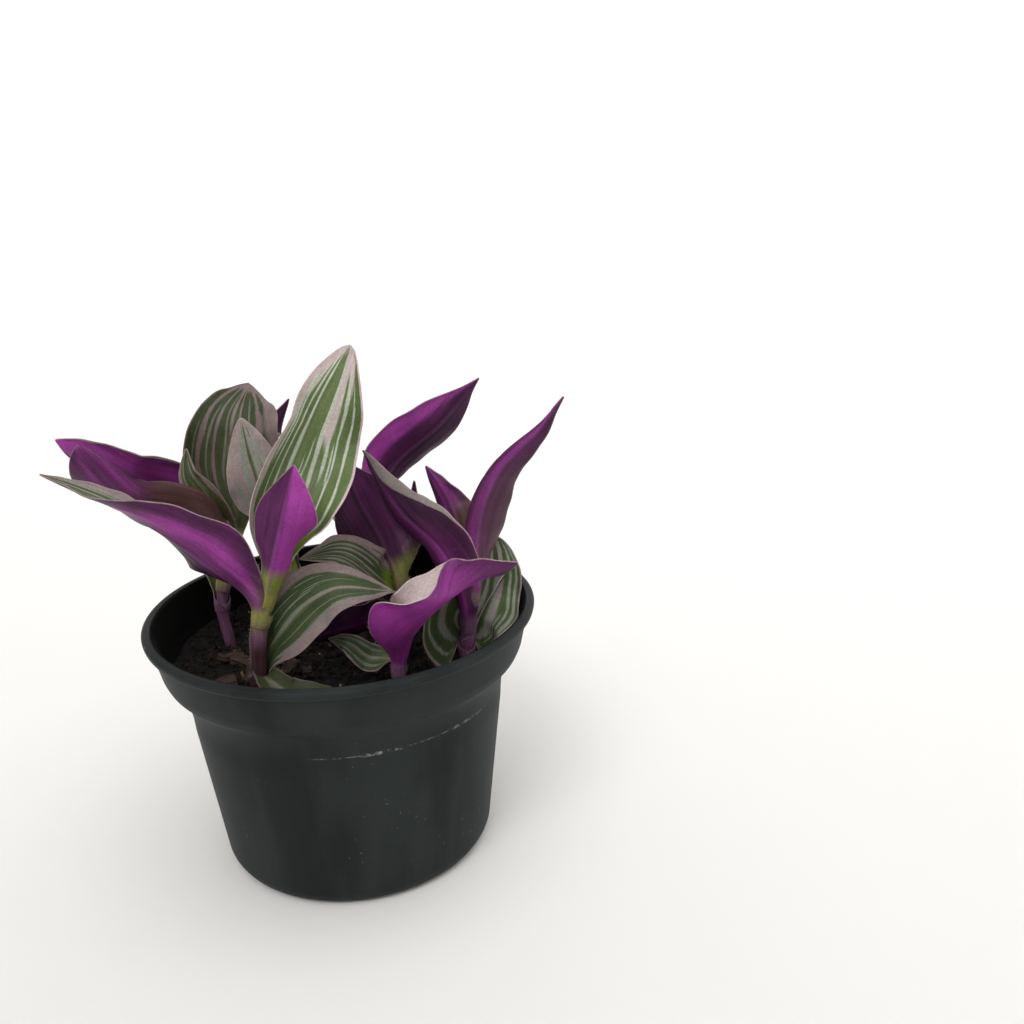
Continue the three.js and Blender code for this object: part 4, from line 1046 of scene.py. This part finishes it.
def scatter_tree(name, shape):
    """A Geometry Nodes tree that scatters a small shape over faces, turned and sized at random."""
    tree, given = new_tree(name, Density="Float", Size="Float", Smallest="Float", Largest="Float",
                           Seed="Int", Material="Material")
    points = add(tree, "GeometryNodeDistributePointsOnFaces", {
        "Mesh": given["Geometry"], "Density": given["Density"], "Seed": given["Seed"]})
    if shape == "crumb":
        solid = add(tree, "GeometryNodeMeshIcoSphere", {"Radius": given["Size"], "Subdivisions": 1})
    else:
        radius = add(tree, "ShaderNodeMath", (given["Size"], 0.05), operation="MULTIPLY")
        solid = add(tree, "GeometryNodeMeshCylinder", {
            "Vertices": 5, "Side Segments": 4, "Radius": radius, "Depth": given["Size"]})
    spin = add(tree, "FunctionNodeRandomValue", {1: (TURN, TURN, TURN)}, data_type="FLOAT_VECTOR")
    grow = add(tree, "FunctionNodeRandomValue", {2: given["Smallest"], 3: given["Largest"]}, 1,
               data_type="FLOAT")
    squash = add(tree, "FunctionNodeRandomValue", {0: (0.6, 0.5, 0.4), 1: (1.5, 1.1, 1.0)},
                 data_type="FLOAT_VECTOR")
    placed = add(tree, "GeometryNodeInstanceOnPoints", {
        "Points": points, "Instance": solid,
        "Scale": add(tree, "ShaderNodeVectorMath", {0: squash, "Scale": grow}, operation="SCALE"),
        "Rotation": add(tree, "FunctionNodeEulerToRotation", (spin,))})
    real = add(tree, "GeometryNodeRealizeInstances", {"Geometry": placed})
    rough = add(tree, "ShaderNodeTexNoise", {"Scale": CRUMB_NOISE, "Detail": 1.0}, "Color")
    centred = add(tree, "ShaderNodeVectorMath", (rough, (0.5, 0.5, 0.5)), operation="SUBTRACT")
    shift = add(tree, "ShaderNodeVectorMath", {0: centred, "Scale": ROUGHNESS[shape] * MM},
                operation="SCALE")
    end_tree(tree, add(tree, "GeometryNodeSetPosition", {"Geometry": real, "Offset": shift}),
             given["Material"])
    return tree


def hair_tree():
    """A Geometry Nodes tree that sets short tapered hairs along the edges of a wire mesh."""
    tree, given = new_tree("hairs_along_edges", Spacing="Float", Length="Float", Thickness="Float",
                           Seed="Int", Material="Material")
    curve = add(tree, "GeometryNodeMeshToCurve", {"Mesh": given["Geometry"]})
    points = add(tree, "GeometryNodeCurveToPoints", {"Curve": curve, "Length": given["Spacing"]},
                 mode="LENGTH")
    outward = add(tree, "GeometryNodeInputNamedAttribute", {"Name": "outward"}, data_type="FLOAT_VECTOR")
    jitter = add(tree, "FunctionNodeRandomValue", {0: (-0.6, -0.6, -0.6), 1: (0.6, 0.6, 0.6),
                                                   "Seed": given["Seed"]}, data_type="FLOAT_VECTOR")
    aim = add(tree, "ShaderNodeVectorMath", (outward, jitter), operation="ADD")
    cone = add(tree, "GeometryNodeMeshCone", {
        "Vertices": 4, "Side Segments": 2, "Radius Top": 0.0, "Radius Bottom": given["Thickness"],
        "Depth": given["Length"]})
    placed = add(tree, "GeometryNodeInstanceOnPoints", {
        "Points": points, "Instance": cone,
        "Rotation": add(tree, "FunctionNodeAlignRotationToVector", {"Vector": aim}, axis="Z"),
        "Scale": add(tree, "FunctionNodeRandomValue", {2: 0.5, 3: 1.2, "Seed": given["Seed"]}, 1,
                     data_type="FLOAT")})
    end_tree(tree, add(tree, "GeometryNodeRealizeInstances", {"Geometry": placed}), given["Material"])
    return tree


def grown(name, host, tree, **inputs):
    """A plain mesh of what a Geometry Nodes tree makes from a host mesh."""
    piece = bpy.data.objects.new(name, host.copy())
    bpy.context.scene.collection.objects.link(piece)
    modifier = piece.modifiers.new(name, "NODES")
    modifier.node_group = tree
    sockets = {item.name: item.identifier for item in tree.interface.items_tree
               if getattr(item, "in_out", "") == "INPUT"}
    for label, value in inputs.items():
        modifier[sockets[label]] = value
    plain(piece)
    return piece


def soil_patch():
    """The soil's surface as a bare mesh, kept clear of the stems, for scattering on."""
    mesh = bpy.data.meshes.new("soil_patch")
    ticks = np.arange(-PATCH_LIMIT, PATCH_LIMIT + 0.1, PATCH_STEP)
    count = len(ticks)
    points = [[x * MM, y * MM, (soil_height(x, y) + bank_height(x, y)) * MM]
              for x in ticks for y in ticks]
    faces = []
    for i, x in enumerate(ticks[:-1]):
        for j, y in enumerate(ticks[:-1]):
            middle = np.array([x, y]) + PATCH_STEP / 2
            clear = all(np.hypot(*(middle - stem)) > STEM_CLEARANCE for stem in stem_places())
            if np.hypot(*middle) < PATCH_LIMIT and clear:
                a = i * count + j
                faces.append([a, a + count, a + count + 1, a + 1])
    mesh.from_pydata(points, [], faces)
    return mesh


def colour_choice(name, description, code):
    return FloatVectorProperty(name=name, description=description, subtype="COLOR",
                               default=linear(code)[:3])


def length_choice(name, description, metres):
    return FloatProperty(name=name, description=description, default=metres, subtype="DISTANCE",
                         unit="LENGTH")


class PotSettings(bpy.types.PropertyGroup):
    sides: IntProperty(name="Sides", description="Faces round the pot", default=192, min=48, max=256)
    plastic: colour_choice("Plastic", "Colour of the pot", "#1c1f1f")


class SoilSettings(bpy.types.PropertyGroup):
    density: FloatProperty(name="Crumbs", description="Crumbs in a square metre", default=340000)
    crumb: length_choice("Crumb size", "Radius of a usual crumb", 0.00085)
    fibre: length_choice("Fibre length", "Length of a usual root fibre", 0.006)


class LeafSettings(bpy.types.PropertyGroup):
    thickness: length_choice("Thickness", "Blade thickness beside the midrib", 0.00046)
    vein_spacing: length_choice("Vein spacing", "Distance between the raised long veins", 0.0034)
    vein_relief: length_choice("Vein relief", "Height of the long veins", 0.00008)
    green_dark: colour_choice("Dark green", "Darkest green above", "#252e1b")
    green_light: colour_choice("Light green", "Lighter green above", "#6e8052")
    purple_dark: colour_choice("Dark purple", "Darkest purple below", "#2a0f26")
    magenta: colour_choice("Magenta", "Brightest purple below", "#ae46a6")
    hair_length: length_choice("Hair length", "Length of the hairs at the sheaths", 0.0011)
    hair_spacing: length_choice("Hair spacing", "Distance between the hairs", 0.00045)


class StageSettings(bpy.types.PropertyGroup):
    floor: colour_choice("Floor", "Colour of the floor", "#f6f5f3")


def chosen(settings, *names):
    """Colours that a user can change, as red, green, blue and 1."""
    return {name: [*getattr(settings, name), 1.0] for name in names}


class PLANT_OT_pot(bpy.types.Operator):
    """Turns the nursery pot, with its collar, thin lip and drain holes"""
    bl_idname = "plant.pot"
    bl_label = "Pot"

    def execute(self, context):
        settings = context.scene.plant_pot
        waist = SmoothLine([WAIST_START, TAPER[-1], *COLLAR[:3]])
        waist = [waist.point(place).tolist() for place in np.linspace(0, 1, WAIST_STEPS)]
        lip = [[POT_RIM - LIP_ROUNDING / 2, POT_HEIGHT - LIP_HEIGHT], [POT_RIM, POT_HEIGHT - LIP_ROUNDING],
               [POT_RIM - LIP_ROUNDING, POT_HEIGHT], [COLLAR[-1][0] - WALL, POT_HEIGHT]]
        outside = [[0, 0], [POT_FOOT, 0], *TAPER[:-1], *waist, *COLLAR[3:], *lip]
        inside = [*reversed(INSIDE), [POT_FOOT, WALL], [0, WALL]]
        rings = filleted(outside + inside, POT_ROUNDING)
        piece = revolved("nursery_pot", rings, settings.sides)
        mouth = max(range(len(rings)), key=lambda k: (rings[k][1], -rings[k][0]))
        put_attribute(piece, "inside", [float(k > mouth) for k, ring in enumerate(rings)
                                        for _ in range(settings.sides if ring[0] > 1e-6 else 1)])
        self.drill(context, piece)
        piece.data.materials.clear()
        piece.data.materials.append(pot_plastic(chosen(settings, "plastic")))
        hold(piece, "pot", "pot")
        return {"FINISHED"}

    def drill(self, context, piece):
        """Cuts the ring of drain holes."""
        cutters = bmesh.new()
        for i in range(DRAIN_HOLES):
            angle = 2 * math.pi * (i + 0.5) / DRAIN_HOLES
            where = Vector((DRAIN_CIRCLE * math.cos(angle), DRAIN_CIRCLE * math.sin(angle), 0)) * MM
            bmesh.ops.create_cone(cutters, cap_ends=True, segments=32, radius1=DRAIN_RADIUS * MM,
                                  radius2=DRAIN_RADIUS * MM, depth=DRAIN_DEPTH * MM,
                                  matrix=Matrix.Translation(where))
        mesh = bpy.data.meshes.new("drain_holes")
        cutters.to_mesh(mesh)
        cutters.free()
        holes = bpy.data.objects.new("drain_holes", mesh)
        context.scene.collection.objects.link(holes)
        cut = piece.modifiers.new("holes", "BOOLEAN")
        cut.operation = "DIFFERENCE"
        cut.solver = "EXACT"
        cut.object = holes
        plain(piece)
        bpy.data.objects.remove(holes)


class PLANT_OT_soil(bpy.types.Operator):
    """Fills the pot with peat, crumbs, bark chips and pale specks"""
    bl_idname = "plant.soil"
    bl_label = "Soil"

    def execute(self, context):
        settings = context.scene.plant_soil
        self.bed()
        patch = soil_patch()
        crumbs = scatter_tree("crumbs_on_soil", "crumb")
        for name, material, share, size, seed in (
                ("soil_crumbs", peat("peat_crumb", "#050403", "#1d1613"), 1.0, 1.0, 3),
                ("soil_crumbs_red", peat("bark_crumb", "#120a07", "#3d271c"), 0.2, 0.9, 4),
                ("soil_specks", peat("pale_grit", "#5a5248", "#b5ab9c"), 0.012, 0.6, 9)):
            piece = grown(name, patch, crumbs, Density=settings.density * share, Size=settings.crumb * size,
                          Smallest=0.35, Largest=1.35, Seed=seed, Material=material)
            hold(piece, "soil")
        fibres = grown("soil_fibres", patch, scatter_tree("fibres_on_soil", "fibre"),
                       Density=FIBRE_DENSITY, Size=settings.fibre, Smallest=0.4, Largest=1.2, Seed=12,
                       Material=peat("root_fibre", "#3a2a1e", "#7a6248"))
        hold(fibres, "soil")
        self.chips()
        return {"FINISHED"}

    def bed(self):
        """The bed of peat, rippled on top and banked up at the pot's wall."""
        top = [[SOIL_EDGE * k / 40, SOIL_TOP] for k in range(39, -1, -1)]
        rings = [[0, WALL], [POT_FOOT - GAP, WALL], *SOIL_SIDE, [BANK_EDGE, SOIL_TOP + BANK_HEIGHT], *top]
        piece = revolved("peat_soil", rings, 120)
        draw = np.random.default_rng(5)
        waves = draw.uniform(-1, 1, (ROUGH_WAVES, 2)) * 1.5
        shifts = draw.uniform(0, TURN, ROUGH_WAVES)
        for vertex in piece.data.vertices:
            x, y, z = np.array(vertex.co) / MM
            if z > SOIL_TOP - 0.01:
                rough = np.sin(waves @ [x, y] + shifts).sum() * ROUGH_HEIGHT
                vertex.co.z = (soil_height(x, y) + rough + bank_height(x, y)) * MM
        piece.data.materials.append(peat("peat_compost", "#030302", "#171210"))
        hold(piece, "soil", "soil")

    def chips(self):
        """Bark chips: thin broken flakes that lie on the soil."""
        draw = random.Random(7)
        chips = list(SEEN_CHIPS)
        while len(chips) < CHIPS:
            radius, angle = CHIP_CIRCLE * math.sqrt(draw.random()), draw.uniform(0, 2 * math.pi)
            x, y = radius * math.cos(angle), radius * math.sin(angle)
            if all(math.hypot(x - a, y - b) > CHIP_CLEARANCE for a, b in stem_places()):
                chips.append([x, y, draw.uniform(3.5, 9.5), draw.uniform(2.0, 4.6),
                              draw.uniform(0, math.pi)])
        points, faces = [], []
        for x, y, length, width, turn in chips:
            shape = bmesh.new()
            bmesh.ops.create_cube(shape, size=1.0)
            bmesh.ops.subdivide_edges(shape, edges=shape.edges[:], cuts=3, use_grid_fill=True)
            size = Vector((length, width, draw.uniform(0.9, 1.9)))
            bmesh.ops.scale(shape, vec=size, verts=shape.verts[:])
            for v in shape.verts:
                v.co += Vector([draw.uniform(-0.35, 0.35) for _ in range(3)])
                v.co.z += 0.5 * math.sin(v.co.x * 0.5)
            place = Matrix.Translation((x, y, soil_height(x, y) + CHIP_LIFT))
            place = place @ Matrix.Rotation(turn, 4, "Z")
            place = place @ Matrix.Rotation(draw.uniform(-0.4, 0.4), 4, "Y")
            bmesh.ops.transform(shape, matrix=place, verts=shape.verts[:])
            shape.verts.ensure_lookup_table()
            faces.extend([[v.index + len(points) for v in face.verts] for face in shape.faces])
            points.extend([list(v.co) for v in shape.verts])
            shape.free()
        piece = mesh_object("bark_chips", points, faces, smooth=False)
        piece.data.materials.append(peat("pine_bark", "#130d0a", "#54423a", BARK_GRAIN))
        hold(piece, "soil")


class PLANT_OT_stems(bpy.types.Operator):
    """Draws the jointed stems, purple-brown below, partly painted shade, and yellow-green above"""
    bl_idname = "plant.stems"
    bl_label = "Stems"

    def execute(self, context):
        skin = stem_skin()
        for name, stem in STEMS.items():
            line = stem_line(name)
            nodes = [leaf["node"] - SHEATH for leaf in LEAVES.values() if leaf["stem"] == name]
            steps = int(line.chord / STEM_STEP)
            place = np.linspace(0, 1, steps + 1)
            centre, along = line.point(place), line.tangent(place)
            right = unit(np.cross(np.array([0.0, 1, 0]), along))
            forward = np.cross(along, right)
            near = np.max([np.exp(-((centre[:, 2] - h) / SWELLING) ** 2) for h in nodes], axis=0)
            radius = stem["radius"] * (STEM_NECK + (1 - STEM_NECK) * near)
            radius[-3:] *= STEM_END
            angle = np.linspace(0, 2 * np.pi, STEM_SIDES, endpoint=False)[None, :, None]
            ring = right[:, None] * np.cos(angle) + forward[:, None] * np.sin(angle)
            points = (centre[:, None] + ring * radius[:, None, None]).reshape(-1, 3)
            faces = []
            for i in range(0, steps * STEM_SIDES, STEM_SIDES):
                for j in range(STEM_SIDES):
                    a, b = i + j, i + (j + 1) % STEM_SIDES
                    faces.append([a, b, b + STEM_SIDES, a + STEM_SIDES])
            faces.append(list(range(STEM_SIDES))[::-1])
            faces.append([steps * STEM_SIDES + j for j in range(STEM_SIDES)])
            piece = mesh_object(name + "_stem", points, faces)
            heights = centre[:, 2]
            for field, values in (("fresh", freshness(heights, name)), ("mauve", mauveness(heights, name)),
                                  ("ring", near ** 6 * 0.5)):
                put_attribute(piece, field, np.repeat(values, STEM_SIDES))
            piece.data.materials.append(skin)
            hold(piece, "stem", "stem_" + name)
        return {"FINISHED"}


class PLANT_OT_leaves(bpy.types.Operator):
    """Grows every leaf, striped above and purple below"""
    bl_idname = "plant.leaves"
    bl_label = "Leaves"

    def execute(self, context):
        settings = context.scene.plant_leaf
        upper = leaf_upper(chosen(settings, "green_dark", "green_light"))
        under = leaf_under(chosen(settings, "purple_dark", "magenta"))
        for name, leaf in LEAVES.items():
            piece = build_blade(name, leaf, settings)
            piece.data.materials.append(upper)
            piece.data.materials.append(under)
            hold(piece, "leaf", "leaf_" + name)
        return {"FINISHED"}


class PLANT_OT_hairs(bpy.types.Operator):
    """Sets fine pale hairs along the sheaths' mouths and the lower margins"""
    bl_idname = "plant.hairs"
    bl_label = "Hairs"

    def execute(self, context):
        settings = context.scene.plant_leaf
        tree, skin = hair_tree(), hair_skin()
        for stem in STEMS:
            points, edges, outward = [], [], []
            for leaf in [v for v in LEAVES.values() if v["stem"] == stem]:
                grid, _, place, _, _ = blade_grid(leaf, *HAIR_GRID)
                start = blade_frame(leaf)[3]
                place = place[:, 0]
                rows = np.nonzero((place > start * 0.3) & (place < start + 0.2))[0]
                for column, inner in ((0, 1), (-1, -2)):
                    base = len(points)
                    run = grid[rows, column]
                    side = unit(run - grid[rows, inner]) + np.array([0, 0, 0.4])
                    points.extend((run * MM).tolist())
                    outward.extend(unit(side).tolist())
                    edges.extend([[base + k, base + k + 1] for k in range(len(rows) - 1)])
            wire = bpy.data.meshes.new(stem + "_edges")
            wire.from_pydata(points, edges, [])
            layer = wire.attributes.new("outward", "FLOAT_VECTOR", "POINT")
            layer.data.foreach_set("vector", np.array(outward, np.float32).ravel())
            piece = grown(stem + "_hairs", wire, tree, Spacing=settings.hair_spacing,
                          Length=settings.hair_length, Thickness=HAIR_RADIUS * MM, Seed=3, Material=skin)
            hold(piece, "leaf")
        return {"FINISHED"}


class PLANT_OT_stage(bpy.types.Operator):
    """Lays the plain pale floor, the soft lights and the camera"""
    bl_idname = "plant.stage"
    bl_label = "Stage"

    def execute(self, context):
        scene = context.scene
        self.floor(chosen(scene.plant_stage, "floor")["floor"])
        world = bpy.data.worlds.new("studio")
        world.use_nodes = True
        sky = world.node_tree.nodes["Background"].inputs
        sky["Color"].default_value = (1.0, 1.0, 1.0, 1.0)
        sky["Strength"].default_value = SKY
        scene.world = world
        for name, (where, spread, strength) in LAMPS.items():
            data = bpy.data.lights.new(name, "SUN")
            data.angle = math.radians(spread)
            data.energy = strength
            lamp = bpy.data.objects.new(name, data)
            lamp.location = where
            lamp.rotation_euler = (-Vector(where)).to_track_quat("-Z", "Y").to_euler()
            scene.collection.objects.link(lamp)
        self.camera(scene)
        scene.view_settings.view_transform = "Standard"
        return {"FINISHED"}

    def floor(self, colour):
        """Matt painted board: even and pale, with faint clouds, and curved up behind the plant."""
        floor = revolved("pale_floor", filleted(BACKDROP, BACKDROP_ROUNDING, 8), 96)
        material, tree = new_material("matt_painted_board")
        where = add(tree, "ShaderNodeTexCoord", (), "Object")
        noise = add(tree, "ShaderNodeTexNoise", {
            "Vector": where, "Scale": per_metre(FLOOR_CLOUDS), "Detail": 2.0})
        surface(tree, {"Base Color": painted(tree, (noise, colour, "#f3f2f0")), "Roughness": 0.85})
        floor.data.materials.append(material)

    def camera(self, scene):
        """The camera at the photograph's own place and angle."""
        pitch, roll = math.radians(CAMERA_PITCH), math.radians(CAMERA_ROLL)
        ahead = Vector((0, math.cos(pitch), -math.sin(pitch)))
        level, down = Vector((1, 0, 0)), Vector((0, -math.sin(pitch), -math.cos(pitch)))
        right = math.cos(roll) * level + math.sin(roll) * down
        below = -math.sin(roll) * level + math.cos(roll) * down
        data = bpy.data.cameras.new("photograph")
        data.sensor_width = SENSOR
        data.lens = SENSOR * CAMERA_FOCUS / PICTURE_WIDTH
        data.clip_start = 0.01
        data.clip_end = 50.0
        camera = bpy.data.objects.new("photograph", data)
        turn = Matrix((right, -below, -ahead)).transposed().to_4x4()
        camera.matrix_world = Matrix.Translation(CAMERA_PLACE) @ turn
        scene.collection.objects.link(camera)
        scene.camera = camera


OPERATORS = [PLANT_OT_pot, PLANT_OT_soil, PLANT_OT_stems, PLANT_OT_leaves, PLANT_OT_hairs, PLANT_OT_stage]
GROUPS = {"plant_pot": PotSettings, "plant_soil": SoilSettings, "plant_leaf": LeafSettings,
          "plant_stage": StageSettings}


class PLANT_PT_panel(bpy.types.Panel):
    """Lists the plant's pieces"""
    bl_idname = "PLANT_PT_panel"
    bl_label = "Potted tradescantia"
    bl_space_type = "VIEW_3D"
    bl_region_type = "UI"
    bl_category = "Plant"

    def draw(self, context):
        for operator in OPERATORS:
            self.layout.operator(operator.bl_idname)


def register():
    for group in GROUPS.values():
        bpy.utils.register_class(group)
    for name, group in GROUPS.items():
        setattr(bpy.types.Scene, name, PointerProperty(type=group))
    for operator in OPERATORS:
        bpy.utils.register_class(operator)
    bpy.utils.register_class(PLANT_PT_panel)


def unregister():
    bpy.utils.unregister_class(PLANT_PT_panel)
    for operator in OPERATORS:
        bpy.utils.unregister_class(operator)
    for name, group in GROUPS.items():
        delattr(bpy.types.Scene, name)
        bpy.utils.unregister_class(group)


def main():
    register()
    bpy.ops.plant.pot()
    bpy.ops.plant.soil()
    bpy.ops.plant.stems()
    bpy.ops.plant.leaves()
    bpy.ops.plant.hairs()
    bpy.ops.plant.stage()


if __name__ == "__main__":
    main()
